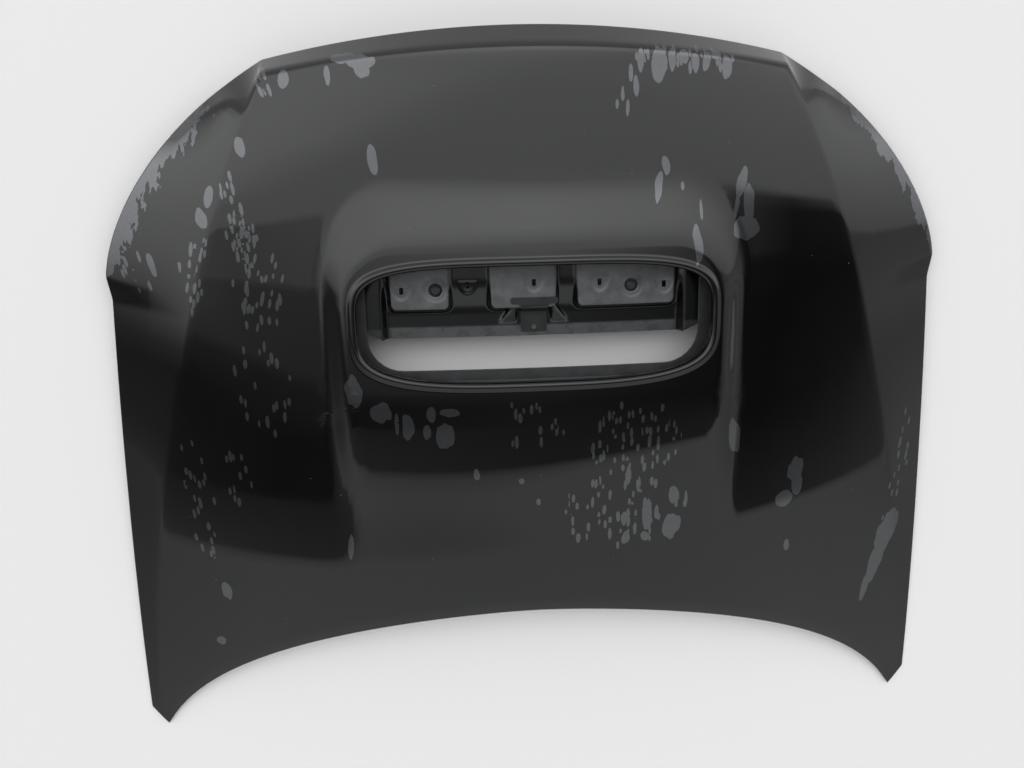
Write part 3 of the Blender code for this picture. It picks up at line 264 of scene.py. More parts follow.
def bandPoints(step, row):
    # points of the band from the crease or feature line out to the panel's edge
    x, station = gridPlan(step, row)
    inner = Vector((x, station, topHeight(x, station)))
    side = pairs[row][1]
    if row == 0:
        size = columnShare(step)
        outer = Vector((size * panel["noseHalf"], panel["length"] - panel["noseSweep"] * size ** 2,
                        mix(panel["noseEdge"], panel["cornerEdge"], size ** 2)))
        wrap = -1.0
    else:
        if side > creaseLampStation:
            edge = along(lampRail, (featureCorner[1] - side) / (featureCorner[1] - creaseLampStation))
        else:
            edge = along(sideRail, (creaseLampStation - side) / (creaseLampStation - tipMiddle[1]))
        outer = Vector((math.copysign(edge.x, x), edge.y,
                        smoothTable(panel["edgeHeights"], edge.y / panel["length"])))
        wrap = (featureCorner[1] - panel["wrapStart"] - side) / panel["wrapLength"]
    span = (outer.xy - inner.xy).length
    brink = mix(brinks["corner"], brinks["wrap"], math.sqrt(1 - (1 - min(max(wrap, 0.0), 1.0)) ** 4))
    if wrap < 0:
        brink = mix(brinks["corner"], brinks["face"], min(-wrap / brinks["faceRun"], 1.0))
    elif wrap > 1:
        brink = mix(brinks["wrap"], brinks["tip"], ease((wrap - 1) / brinks["tipRun"]))
    flat = (inner.z - outer.z) / span
    turned = ease(wrap / brinks["slopeRun"]) if wrap < 1 else 0.0
    slope = mix(flat, mix(panel["stripSlope"], flat, ease(wrap)), turned)
    brinkHeight = inner.z - brink * span * slope

    def height(share):
        if share <= brink:
            return mix(inner.z, brinkHeight, share / brink)
        return mix(brinkHeight, outer.z, (share - brink) / (1 - brink))

    strip = max(1 - mesh["edgeStrip"] / span, 0.5)
    strip = max(strip, mix(brink, 1.0, 0.4))
    near = brinks["soft"] / span
    shares = [panel["creaseSoft"] / span, brink * 0.6, brink - near, brink, brink + near,
              mix(brink + near, strip, 0.5), strip, mix(strip, 1.0, 0.5), 1 - near * 0.5, 1.0]
    shares[1] = max(shares[1], mix(shares[0], shares[2], 0.4))
    heights = [height(share) for share in shares]
    heights[3] = (heights[3] + (heights[2] + heights[4]) / 2) / 2
    points = [Vector((*inner.xy.lerp(outer.xy, share), z)) for share, z in zip(shares, heights)]
    # the crease itself, rounded between its two neighbours
    back = inner.xy + (inner.xy - outer.xy).normalized() * panel["creaseSoft"]
    chord = (topHeight(back.x, back.y) + heights[0]) / 2
    return Vector((x, station, (inner.z + chord) / 2)), points


def extrudeRing(bm, edges, tags, position):
    made = bmesh.ops.extrude_edge_only(bm, edges=edges)["geom"]
    for vert in (item for item in made if isinstance(item, bmesh.types.BMVert)):
        vert.co = position(vert[tags])
    return [item for item in made if isinstance(item, bmesh.types.BMEdge)]


def faceUp(bm):
    # one winding for the whole sheet, with its larger part facing up
    bmesh.ops.recalc_face_normals(bm, faces=bm.faces)
    if sum(face.normal.z * face.calc_area() for face in bm.faces) < 0:
        bmesh.ops.reverse_faces(bm, faces=bm.faces)
    bm.normal_update()


def skinTop():
    bm = bmesh.new()
    bmesh.ops.create_grid(bm, x_segments=2 * halfColumns, y_segments=rowCount, size=1.0)
    for layer in ("tag", "hem"):
        bm.verts.layers.int.new(layer)
    for layer in ("edgeGap", "lampStrip"):
        bm.verts.layers.float.new(layer)
    tags = bm.verts.layers.int["tag"]
    bands = {}
    for vert in bm.verts:
        step = round(vert.co.x * halfColumns)
        row = round((1 - vert.co.y) / 2 * rowCount)
        tag = row * width + step + halfColumns
        vert[tags] = tag
        x, station = gridPlan(step, row)
        z = topHeight(x, station)
        if row == 0 or abs(step) == halfColumns:
            crease, bands[tag] = bandPoints(step, row)
            z = crease.z
        vert.co = place(x, station, z)
    first, last = mesh["rows"][0], sum(mesh["rows"][:3])

    def inBlock(vert):
        row, column = divmod(vert[tags], width)
        return first <= row <= last and abs(column - halfColumns) <= mesh["inner"]

    block = [face for face in bm.faces if all(inBlock(vert) for vert in face.verts)]
    bmesh.ops.delete(bm, geom=block, context="FACES")
    openEdges = [edge for edge in bm.edges if edge.is_boundary]
    inner = [edge for edge in openEdges if all(inBlock(vert) for vert in edge.verts)]
    rear = {edge for edge in openEdges if all(vert[tags] >= rowCount * width for vert in edge.verts)}
    outer = [edge for edge in openEdges if edge not in rear and edge not in inner]

    def ring(offset, lift, share=1.0):
        def position(tag):
            row, column = divmod(tag, width)
            x, station = Vector(gridPlan(column - halfColumns, row)).lerp(
                Vector(ringPlan(column - halfColumns, row, offset)), share)
            return place(x, station, topHeight(x, station) + lift)
        return position

    for step in range(1, lip["apron"]):
        inner = extrudeRing(bm, inner, tags, ring(lip["rings"][0], 0.0, step / lip["apron"]))
    for offset in lip["rings"]:
        inner = extrudeRing(bm, inner, tags, ring(offset, 0.0))
    for index in range(10):
        outer = extrudeRing(bm, outer, tags, lambda tag: place(*bands[tag][index]))
    faceUp(bm)
    markLampEdges(bm)
    markStains(bm)
    return bm, tags, inner, ring


def markLampEdges(bm):
    # how far each point lies from the headlamp edges, and how wide the dried strip is there
    gap, strip = (bm.verts.layers.float[name] for name in ("edgeGap", "lampStrip"))
    rails = {side: [place(side * p.x, p.y).xy for p in lampRail[::3]] for side in (-1, 1)}
    for vert in bm.verts:
        rail = rails[-1 if vert.co.x < 0 else 1]
        far = abs(vert.co.x) < panel["noseHalf"] - stains["lampReach"]
        vert[gap] = 1.0 if far else min((vert.co.xy - spot).length for spot in rail)
        wide = stains["lampStrip"]["left" if vert.co.x < 0 else "right"]
        front = ease((rail[0].y - stains["lampStart"][0] - vert.co.y) / stains["lampStart"][1])
        rear = ease((vert.co.y - rail[-1].y + stains["lampStop"][0]) / stains["lampStop"][1])
        vert[strip] = wide * front * rear


def orderedLoop(edges):
    start = edges[0].verts[0]
    loop, vert, used = [start], start, None
    mine = set(edges)
    while True:
        used = next(edge for edge in vert.link_edges if edge in mine and edge is not used)
        vert = used.other_vert(vert)
        if vert is start:
            return loop
        loop.append(vert)


def edgeFrames(loop, edges):
    # outward direction and surface normal at each corner of the border
    mine, frames = set(edges), []
    for vert in loop:
        outs, normal = [], Vector()
        for edge in (item for item in vert.link_edges if item in mine):
            face = edge.link_faces[0]
            out = (edge.verts[1].co - edge.verts[0].co).cross(face.normal).normalized()
            if out.dot(face.calc_center_median() - (edge.verts[0].co + edge.verts[1].co) / 2) > 0:
                out.negate()
            outs.append(out)
            normal += face.normal
        out = (outs[0] + outs[1]).normalized()
        frames.append((out / max(out.dot(outs[0]), mesh["mitre"]), normal.normalized()))
    return frames


class Surface:
    # looks up the skin's middle surface under a plan point

    def __init__(self, bm):
        self.tree = BVHTree.FromBMesh(bm)

    def at(self, x, y):
        spot, normal, _, _ = self.tree.ray_cast(Vector((x, y, 1.0)), Vector((0, 0, -1)))
        if spot is None:
            spot, normal, _, _ = self.tree.find_nearest(Vector((x, y, 0.02)))
        return spot, normal if normal.z > 0 else -normal


def newObject(name, bm, material, slot, replaced=()):
    made = bpy.data.meshes.new(name)
    bm.to_mesh(made)
    bm.free()
    made.shade_smooth()
    made.materials.append(material)
    thing = bpy.data.objects.new(name, made)
    bpy.context.scene.collection.objects.link(thing)
    if slot:
        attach(thing, "root")
    if replaced:
        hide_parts(*replaced)
    return thing


def addWall(thing, thickness, offset=0.0):
    wall = thing.modifiers.new("wall", "SOLIDIFY")
    wall.thickness = thickness
    wall.offset = offset
    return thing


def makeSkin(material):
    bm, tags, inner, ring = skinTop()
    surface = Surface(bm)
    border = [edge for edge in bm.edges if edge.is_boundary and edge not in set(inner)]
    loop = orderedLoop(border)
    frames = edgeFrames(loop, border)
    spots = [vert.co.copy() for vert in loop]
    for offset, lift in lip["profile"]:
        inner = extrudeRing(bm, inner, tags, ring(offset, lift))
    hem = bm.verts.layers.int["hem"]
    for index, vert in enumerate(loop):
        vert[hem] = index

    def fold(angle):
        def position(index):
            out, normal = frames[index]
            return spots[index] + hemRadius * (out * math.sin(angle) - normal * (1 - math.cos(angle)))
        return position

    def hemReturn(index):
        flat = spots[index] - frames[index][0] * panel["hem"]
        hit, normal = surface.at(flat.x, flat.y)
        return hit - normal * 2 * hemRadius

    edges = border
    for step in range(1, panel["foldSteps"] + 1):
        edges = extrudeRing(bm, edges, hem, fold(math.pi * step / panel["foldSteps"]))
    extrudeRing(bm, edges, hem, hemReturn)
    faceUp(bm)
    skin = newObject("skin_panel", bm, material, "black_enamel", ["outer_skin"])
    return addWall(skin, panel["skin"]), surface, spots, frames


# The scoop's mounting member: a pressed shelf under the front of the opening, and the T-shaped
# bracket on it. Stations are reckoned from the opening's rear edge.
shelf = {
    "height": 0.100, "crownRadius": 3.2, "half": 0.302, "rearHalf": 0.262, "rear": 0.0691,
    "shoulder": 0.020, "front": 0.2395, "corner": 0.074, "sheet": 0.0009,
    "ledgeFront": 0.1076, "wallFront": 0.1216, "ledgeDrop": 0.020, "ledgeSoft": (0.003, 0.012),
    "sections": ((-0.248, -0.143), (-0.077, 0.040), (0.072, 0.247)),
    "sectionCorner": 0.012, "sectionSlope": 0.010, "valleyDrop": 0.006, "valleyRun": 0.065,
    "padPitch": 0.113, "padStation": 0.1635, "padSag": 0.0095, "padRadius": 0.0175, "padStretch": 1.5,
    "padDrop": 0.0018, "padRim": 0.003, "slot": (0.0060, 0.0110), "slotCorner": 0.0014,
    "dish": 0.168, "dishStation": 0.1540, "dishRadius": 0.0125, "dishDrop": 0.004, "saucerRadius": 0.0215,
    "saucerDrop": 0.0012, "dishRim": 0.004, "flangeStart": 0.252, "flangeRun": 0.012,
    "frontFlange": 0.2135, "frontFlangeRun": 0.008, "hole": (0.0, 0.0845), "holeRadius": 0.0045,
    "wallSoft": 0.004, "flareSoft": 0.006, "cutDepth": 0.05,
    "beyond": 0.40,              # the raised sections run on under the front flange, up to this run
    "columns": 150, "rows": 84, "dents": 0.0004, "dentsPerMetre": 34,
    "dustLitLedge": 0.017,         # dust and painted top light lie on this much of the ledge, from its rear edge; its front part by the wall stays dark as painted shade
    "dustLightShares": (0.7, 0.8, 0.6), "dustLightSoft": (0.004, 0.006),  # on ledge, on flares, less at the ends
    "flare": (0.0300, 0.037, 0.024, 0.088),  # inner side, outer side at its top, spread, its foot
}
bracket = {"half": 0.041, "stemHalf": 0.0225, "front": 0.1385, "shoulder": 0.1270, "rear": 0.0761,
           "sheet": 0.0012, "gap": 0.0003, "corner": 0.005, "fillet": 0.008, "step": 0.003,
           "stand": 1.05, "probe": 0.001, "edge": 0.0003}


def shelfLevel(x):
    return shelf["height"] - x * x / (2 * shelf["crownRadius"])


def roundedBox(x, y, left, right, low, high, radius):
    # distance outside a rounded rectangle, negative inside
    dx = max(left + radius - x, x - right + radius)
    dy = max(low + radius - y, y - high + radius)
    return math.hypot(max(dx, 0.0), max(dy, 0.0)) + min(max(dx, dy), 0.0) - radius


def padCentre(index):
    return index * shelf["padPitch"], shelf["padStation"] - shelf["padSag"] * (index / 2) ** 2


def raisedShare(x, run):
    # 1 on the raised sections of the shelf, 0 between them
    aways = [roundedBox(x, run, left, right, shelf["wallFront"] - shelf["wallSoft"], shelf["beyond"],
                        shelf["sectionCorner"]) for left, right in shelf["sections"]]
    return 1 - ease(min(aways) / shelf["sectionSlope"] + 0.5)


def flareShare(x, run):
    # the middle section runs down to the ledge in a flare on each side of the bracket: share of the
    # way down, and 1 on the flare itself
    inner, outer, spread, start = shelf["flare"]
    down = (shelf["wallFront"] + shelf["wallSoft"] - run) / (shelf["wallFront"] - start)
    down = min(max(down, 0.0), 1.0)
    away = max(inner - abs(x), abs(x) - outer - spread * down)
    return down, 1 - ease(away / shelf["flareSoft"] + 0.5)


def shelfHeight(x, run):
    # height of the sheet's middle at a place across and along; run counts from the opening's rear edge
    level = shelfLevel(x)
    early, soft = shelf["ledgeSoft"]
    deep = shelf["ledgeDrop"] * (1 - ease((run - shelf["ledgeFront"] + early) / soft))
    low = max(deep, mix(shelf["ledgeDrop"], shelf["valleyDrop"],
                        ease((run - shelf["ledgeFront"]) / shelf["valleyRun"])))
    raised = raisedShare(x, run)
    drop = low * (1 - raised)
    down, beside = flareShare(x, run)
    drop = mix(drop, min(drop, shelf["ledgeDrop"] * down), beside)
    for index in range(-2, 3):
        px, py = padCentre(index)
        dx, dy = x - px, run - py - shelf["padRadius"] / 2
        away = max((math.hypot(dx, dy / shelf["padStretch"]) - shelf["padRadius"]), dy)
        drop += shelf["padDrop"] * (1 - ease(away / shelf["padRim"] + 1))
    away = math.hypot(abs(x) - shelf["dish"], run - shelf["dishStation"])
    for radius, deep in (("dishRadius", "dishDrop"), ("saucerRadius", "saucerDrop")):
        drop += shelf[deep] * (1 - ease((away - shelf[radius]) / shelf["dishRim"] + 1))
    flange = max(ease((abs(x) - shelf["flangeStart"]) / shelf["flangeRun"]),
                 ease((run - shelf["frontFlange"]) / shelf["frontFlangeRun"]))
    dent = noise.noise(Vector((x, run, 0.0)) * shelf["dentsPerMetre"] + Vector((0, 0, 3))) * shelf["dents"]
    return level - drop * (1 - flange) + dent * raised * (1 - flange)


def applied(thing):
    # the mesh with its modifiers worked in
    graph = bpy.context.evaluated_depsgraph_get()
    done = bpy.data.meshes.new_from_object(thing.evaluated_get(graph))
    thing.modifiers.clear()
    thing.data = done
    return thing


def cut(thing, bm):
    cutter = newObject("cutter", bm, thing.data.materials[0], None)
    hollow = thing.modifiers.new("cut", "BOOLEAN")
    hollow.operation, hollow.object, hollow.solver = "DIFFERENCE", cutter, "EXACT"
    applied(thing)
    bpy.data.objects.remove(cutter)
    thing.data.shade_smooth()
    thing.data.set_sharp_from_angle(angle=math.radians(mesh["sharp"]))
    return thing


def onShelf(x, run, z):
    return place(x, panel["openRear"] + run, z)


def holeCutter(bm):
    # an upright round bar through the shelf and the bracket
    x, run = shelf["hole"]
    bmesh.ops.create_cone(bm, cap_ends=True, segments=32, radius1=shelf["holeRadius"],
                          radius2=shelf["holeRadius"], depth=shelf["cutDepth"],
                          matrix=Matrix.Translation(onShelf(x, run, shelfLevel(x))))


def slotCutter(x, run):
    # an upright prism with round corners through the sheet
    bm = bmesh.new()
    box = bmesh.ops.create_cube(bm, size=1.0)["verts"]
    bmesh.ops.scale(bm, vec=(*shelf["slot"], shelf["cutDepth"]), verts=box)
    upright = [edge for edge in bm.edges if edge.verts[0] in box
               and abs(edge.verts[0].co.z - edge.verts[1].co.z) > shelf["cutDepth"] / 2]
    made = bmesh.ops.bevel(bm, geom=upright, offset=shelf["slotCorner"], affect="EDGES", segments=3,
                           profile=0.5, material=-1)
    bmesh.ops.translate(bm, vec=onShelf(x, run, shelfLevel(x)),
                        verts=list({*made["verts"], *(vert for vert in box if vert.is_valid)}))
    return bm


def makeShelf(material):
    bm = bmesh.new()
    bmesh.ops.create_grid(bm, x_segments=2 * shelf["columns"], y_segments=shelf["rows"], size=1.0)
    straight = shelf["half"] - shelf["corner"]
    settledAndLit = bm.verts.layers.float.new("settledAndLit")
    (onLedge, onFlare, offEnds), (short, soft) = shelf["dustLightShares"], shelf["dustLightSoft"]
    for vert in bm.verts:
        x = vert.co.x * shelf["half"]
        beyond = max(abs(x) - straight, 0.0)
        front = shelf["front"] - shelf["corner"] + math.sqrt(max(shelf["corner"] ** 2 - beyond ** 2, 0.0))
        rear = shelf["rear"] + shelf["shoulder"] * max(abs(x) - shelf["rearHalf"], 0.0) / (
            shelf["half"] - shelf["rearHalf"])
        run = mix(rear, front, (vert.co.y + 1) / 2)
        vert.co = onShelf(x, run, shelfHeight(x, run))
        # where dust and painted top light may show: the raised sections, the ledge's rear part and the
        # flares; the ledge's front part by the wall stays dark as painted shade
        ledge = onLedge * (1 - ease((run - shelf["rear"] - shelf["dustLitLedge"]) / short))
        flare = onFlare * flareShare(x, run)[1] * ease((run - shelf["flare"][3]) / soft)
        ends = offEnds * ease((abs(x) - shelf["sections"][2][1]) / soft)
        vert[settledAndLit] = max(raisedShare(x, run), ledge, flare) * (1 - ends)
    thing = newObject("scoop_shelf", bm, material, "black_primer", ["scoop_mounting_member"])
    applied(addWall(thing, shelf["sheet"]))
    holes = bmesh.new()
    for index in range(-2, 3):
        joinInto(holes, slotCutter(*padCentre(index)))
    holeCutter(holes)
    return cut(thing, holes)


def joinInto(bm, other):
    spare = bpy.data.meshes.new("spare")
    other.to_mesh(spare)
    other.free()
    bm.from_mesh(spare)
    bpy.data.meshes.remove(spare)


def bracketHeight(run):
    # the bracket's sheet stands on the shelf's ledge, wall and middle section
    lift = (shelf["sheet"] + bracket["sheet"]) / 2 + bracket["gap"]
    return shelfHeight(0.0, run) + lift * bracket["stand"]


def makeBracket(material):
    bm = bmesh.new()
    corners = [(bracket["stemHalf"], bracket["rear"]), (bracket["stemHalf"], bracket["shoulder"]),
               (bracket["half"], bracket["shoulder"]), (bracket["half"], bracket["front"])]
    corners += [(-x, run) for x, run in reversed(corners)]
    verts = [bm.verts.new((x, run, 0.0)) for x, run in corners]
    bm.faces.new(verts)
    armpit = Vector((bracket["stemHalf"], bracket["shoulder"]))
    for radius, hollow in ((bracket["corner"], False), (bracket["fillet"], True)):
        chosen = [vert for vert in bm.verts
                  if ((Vector((abs(vert.co.x), vert.co.y)) - armpit).length < 1e-5) == hollow
                  and min(edge.calc_length() for edge in vert.link_edges) > radius]
        bmesh.ops.bevel(bm, geom=chosen, offset=radius * 0.9, affect="VERTICES", segments=5,
                        profile=0.5, material=-1)
    run = bracket["rear"] + bracket["step"]
    while run < bracket["front"]:
        bmesh.ops.bisect_plane(bm, geom=[*bm.verts, *bm.edges, *bm.faces], plane_co=(0, run, 0),
                               plane_no=(0, 1, 0))
        run += bracket["step"]
    for vert in bm.verts:
        run = vert.co.y
        front, rear = (bracketHeight(run + side * bracket["probe"]) for side in (1, -1))
        slope = (front - rear) / (2 * bracket["probe"])
        lean = (bracket["sheet"] + bracket["gap"]) * slope / math.hypot(1, slope)
        vert.co = onShelf(vert.co.x, run - lean, bracketHeight(run))
    bmesh.ops.recalc_face_normals(bm, faces=bm.faces)
    thing = newObject("scoop_bracket", bm, material, "black_primer", ["centre_bracket"])
    applied(addWall(thing, bracket["sheet"]))
    hole = bmesh.new()
    holeCutter(hole)
    cut(thing, hole)
    edge = thing.modifiers.new("edge", "BEVEL")
    edge.width, edge.segments = bracket["edge"], 2
    edge.limit_method, edge.angle_limit = "ANGLE", math.radians(mesh["sharp"])
    return thing


# The inner frame: one pressed sheet under the skin, its flange in the hem, with windows between its
# ribs. Windows are given by their corners on the right-hand side, across and by station.
ribs = {
    "windows": (((0.115, 1.125), (0.375, 1.105), (0.430, 0.985), (0.115, 1.005)),
                ((0.385, 0.915), (0.470, 0.915), (0.555, 0.625), (0.410, 0.655)),
                ((0.215, 0.590), (0.480, 0.545), (0.545, 0.345), (0.285, 0.335))),
    "middle": ((-0.130, 0.600), (0.130, 0.600), (0.195, 0.330), (-0.195, 0.330)),
    "corner": 0.024, "spacing": 0.008, "cornerSteps": 8,
    # rings round a window: distance outside its edge and depth below the skin
    "rings": ((0.0, 0.0052), (0.0012, 0.0043), (0.0026, 0.0040), (0.0106, 0.0040), (0.0122, 0.0046),
              (0.0135, 0.0066), (0.0149, 0.0105), (0.0160, 0.0145), (0.0171, 0.0185), (0.0185, 0.0226),
              (0.0200, 0.0250)),
    # rings inside the panel's edge: distance in and share of the way down from the hem to the ribs
    "flange": ((0.0, 0.0), (0.0118, 0.0), (0.0128, 0.06), (0.0140, 0.24), (0.0157, 0.52), (0.0172, 0.78),
               (0.0182, 0.94), (0.0190, 1.0)),
    "depth": 0.025, "rim": 0.004, "clearance": 0.00514,
    "scoop": (0.288, 0.7200, 0.210), "scoopCorner": 0.060, "scoopRings": (0.0, 0.0015, 0.0188, 0.0200),
    "stack": 0.0012,
    # flat pads for the hinges and the striker: place, size, turn, depth below the skin, bolt pitch
    "pads": (((0.600, 0.235), (0.130, 0.056), -32, 0.026, 0.070),
             ((-0.600, 0.235), (0.130, 0.056), 32, 0.026, 0.070),
             ((0.0, 1.180), (0.150, 0.050), 0, 0.027, 0.084)),
    "padRings": ((0.0, 0.0), (0.0018, 0.06), (0.0042, 0.32), (0.0078, 0.74), (0.0102, 0.95), (0.0120, 1.0)),
    "padCorner": 0.008, "bolt": 0.0045, "boltSides": 24, "grid": 0.014, "span": 0.8, "clear": 0.008,
    "scoopClear": 0.060, "sharp": 45,
}


def roundedLoop(corners, radius):
    # a rounded convex outline in plan: its points, each with the way out
    corners = [Vector(corner) for corner in corners]
    if sum(a.cross(b) for a, b in zip(corners, corners[1:] + corners[:1])) < 0:
        corners.reverse()
    made = []
    for before, here, after in zip(corners[-1:] + corners[:-1], corners, corners[1:] + corners[:1]):
        into, out = (here - before).normalized(), (after - here).normalized()
        bend = into.angle(out)
        centre = here + (out - into).normalized() * radius / math.cos(bend / 2)
        start = math.atan2(-into.x, into.y)
        for step in range(ribs["cornerSteps"] + 1):
            turn = start + bend * step / ribs["cornerSteps"]
            way = Vector((math.cos(turn), math.sin(turn)))
            made.append((centre + radius * way, way))
    filled = []
    for (point, way), (following, _) in zip(made, made[1:] + made[:1]):
        parts = max(1, round((following - point).length / ribs["spacing"]))
        filled += [(point.lerp(following, step / parts), way) for step in range(parts)]
    return filled


def inside(spot, loop):
    found = False
    for a, b in zip(loop, loop[1:] + loop[:1]):
        if (a.y > spot.y) != (b.y > spot.y) and spot.x < a.x + (spot.y - a.y) / (b.y - a.y) * (b.x - a.x):
            found = not found
    return found


def ribSpot(surface, x, station, drop):
    # a point of the frame below the skin, kept clear of the floor
    spot = place(x, station)
    top = surface.at(spot.x, spot.y)[0].z
    spot.z = max(top - drop, min(ribs["clearance"], top - ribs["rim"]))
    return spot


def frameLoops(surface, spots, frames):
    # closed loops of the frame with a mark: "edge" for its outline, "hole" for a cut-out, "foot" for
    # the last ring of a wall
    loops = []
    for inset, share in ribs["flange"]:
        ring = []
        for spot, (out, normal) in zip(spots, frames):
            hit = spot
            if inset:
                flat = spot - out * inset
                hit, normal = surface.at(flat.x, flat.y)
            deep = max(min(ribs["depth"], (hit.z - ribs["clearance"]) / normal.z), ribs["rim"])
            ring.append(hit - normal * mix(hemRadius, deep, share))
        loops.append(("foot" if share == 1 else "" if inset else "edge", ring))
    mirrored = [[(-x, y) for x, y in corners] for corners in ribs["windows"]]
    windows = [ribs["middle"], *ribs["windows"], *mirrored]
    for corners in windows:
        outline = roundedLoop(corners, ribs["corner"])
        for offset, drop in ribs["rings"]:
            ring = [ribSpot(surface, *(point + way * offset), drop) for point, way in outline]
            loops.append(("" if offset else "hole", ring))
        loops[-1] = ("foot", loops[-1][1])
    half, rear, deep = ribs["scoop"]
    corners = [(-half, rear), (half, rear), (half, rear + deep), (-half, rear + deep)]
    outline = roundedLoop(corners, ribs["scoopCorner"])
    for offset in ribs["scoopRings"]:
        flat = [point + way * offset for point, way in outline]
        ring = [place(p.x, p.y, shelfLevel(p.x) + ribs["stack"]) for p in flat]
        loops.append(("" if offset else "hole", ring))
    loops[-1] = ("foot", loops[-1][1])
    for centre, size, degrees, drop, pitch in ribs["pads"]:
        turn = Matrix.Rotation(math.radians(degrees), 2)
        level = surface.at(*place(*centre).xy)[0].z - drop
        corners = [Vector(centre) + turn @ Vector((size[0] / 2 * i, size[1] / 2 * j))
                   for i, j in ((-1, -1), (1, -1), (1, 1), (-1, 1))]
        for offset, share in ribs["padRings"]:
            ring = []
            for point, way in roundedLoop(corners, ribs["padCorner"]):
                spot = ribSpot(surface, *(point + way * offset), ribs["depth"])
                spot.z = mix(level, spot.z, share)
                ring.append(spot)
            loops.append(("foot" if share == 1 else "", ring))
        turns = [math.tau * i / ribs["boltSides"] for i in range(ribs["boltSides"])]
        rim = [Vector((math.cos(angle), math.sin(angle), 0)) * ribs["bolt"] for angle in turns]
        for side in (-1, 1):
            bolt = place(*(Vector(centre) + turn @ Vector((side * pitch / 2, 0))))
            bolt.z = level
            loops.append(("hole", [bolt + way for way in rim]))
    return loops


def makeFrame(surface, spots, frames, material):
    loops = frameLoops(surface, spots, frames)
    points, edges, owners = [], [], []
    for index, (_, loop) in enumerate(loops):
        first = len(points)
        points += loop
        owners += [index] * len(loop)
        edges += [(first + i, first + (i + 1) % len(loop)) for i in range(len(loop))]
    tree = kdtree.KDTree(len(points))
    for i, point in enumerate(points):
        tree.insert((point.x, point.y, 0.0), i)
    tree.balance()
    # filling points on the open ribs, away from every wall
    border, *feet = [loop for mark, loop in loops if mark == "foot"]
    half, rear, deep = ribs["scoop"]
    steps = int(ribs["span"] / ribs["grid"])
    filling = []
    for i in range(-steps, steps + 1):
        for j in range(-steps, steps + 1):
            spot = place((i + 0.5 * (j % 2)) * ribs["grid"], panel["length"] / 2 + j * ribs["grid"])
            run = spot.y + panel["length"] / 2
            away = roundedBox(spot.x, run, -half, half, rear, rear + deep, ribs["scoopCorner"])
            if (away >= ribs["scoopClear"] and tree.find((spot.x, spot.y, 0.0))[2] >= ribs["clear"]
                    and inside(spot, border) and not any(inside(spot, loop) for loop in feet)):
                filling.append(ribSpot(surface, spot.x, run, ribs["depth"]))
    points += filling
    owners += [-1] * len(filling)
    flat, _, faces, sources, _, _ = delaunay_2d_cdt([p.xy for p in points], edges, [], 0, 1e-6)
    bm = bmesh.new()
    verts, marks = [], []
    for spot, source in zip(flat, sources):
        near = source[0] if source else tree.find((spot.x, spot.y, 0.0))[1]
        verts.append(bm.verts.new((spot.x, spot.y, points[near].z)))
        marks.append(owners[near])
    holes = {index for index, (mark, _) in enumerate(loops) if mark == "hole"}
    for face in faces:
        mine = {marks[i] for i in face}
        if len(mine) == 1 and mine <= holes:
            continue
        middle = sum((flat[i] for i in face), Vector((0.0, 0.0))) / len(face)
        if mine != {0} or inside(middle, loops[0][1]):
            bm.faces.new([verts[i] for i in face])
    bmesh.ops.delete(bm, geom=[vert for vert in bm.verts if not vert.link_faces], context="VERTS")
    faceUp(bm)
    thing = newObject("inner_panel", bm, material, "black_primer", ["inner_frame"])
    thing.data.set_sharp_from_angle(angle=math.radians(ribs["sharp"]))
    return addWall(thing, panel["frame"])


# Finishes

def hexColor(code):
    channels = [int(code[i:i + 2], 16) / 255 for i in (1, 3, 5)]
    return (*[c / 12.92 if c <= 0.04045 else ((c + 0.055) / 1.055) ** 2.4 for c in channels], 1.0)


def feed(tree, node, inputs):
    # a value or a link for each socket of a node
    for socket, item in inputs.items():
        if isinstance(item, bpy.types.NodeSocket):
            tree.links.new(item, node.inputs[socket])
        else:
            node.inputs[socket].default_value = item


def addNode(tree, kind, inputs, output=0, **settings):
    # a new node with its settings and inputs; gives back one of its outputs
    made = tree.nodes.new("ShaderNode" + kind)
    for key, value in settings.items():
        setattr(made, key, value)
    feed(tree, made, inputs)
    return made.outputs[output]


def calc(tree, operation, *values, **settings):
    return addNode(tree, "Math", dict(enumerate(values)), operation=operation, **settings)


def blend(tree, share, first, second):
    # a mix of two colours, each a socket or a code
    first, second = (hexColor(item) if isinstance(item, str) else item for item in (first, second))
    return addNode(tree, "Mix", {0: share, 6: first, 7: second}, 2, data_type="RGBA")


def clouds(tree, spot, size, detail, rough=0.5, output="Fac"):
    inputs = {"Vector": spot, "Scale": 1 / size, "Detail": detail, "Roughness": rough}
    return addNode(tree, "TexNoise", inputs, output)


def attribute(tree, name, output="Fac"):
    return addNode(tree, "Attribute", {}, output, attribute_name=name)


def facing(tree):
    # 1 on a level face, 0 on an upright one
    normal = addNode(tree, "NewGeometry", {}, "Normal")
    return addNode(tree, "SeparateXYZ", {"Vector": normal}, "Z")


def newMaterial(name):
    made = bpy.data.materials.new(name)
    made.use_nodes = True
    tree = made.node_tree
    return made, tree, tree.nodes["Principled BSDF"]


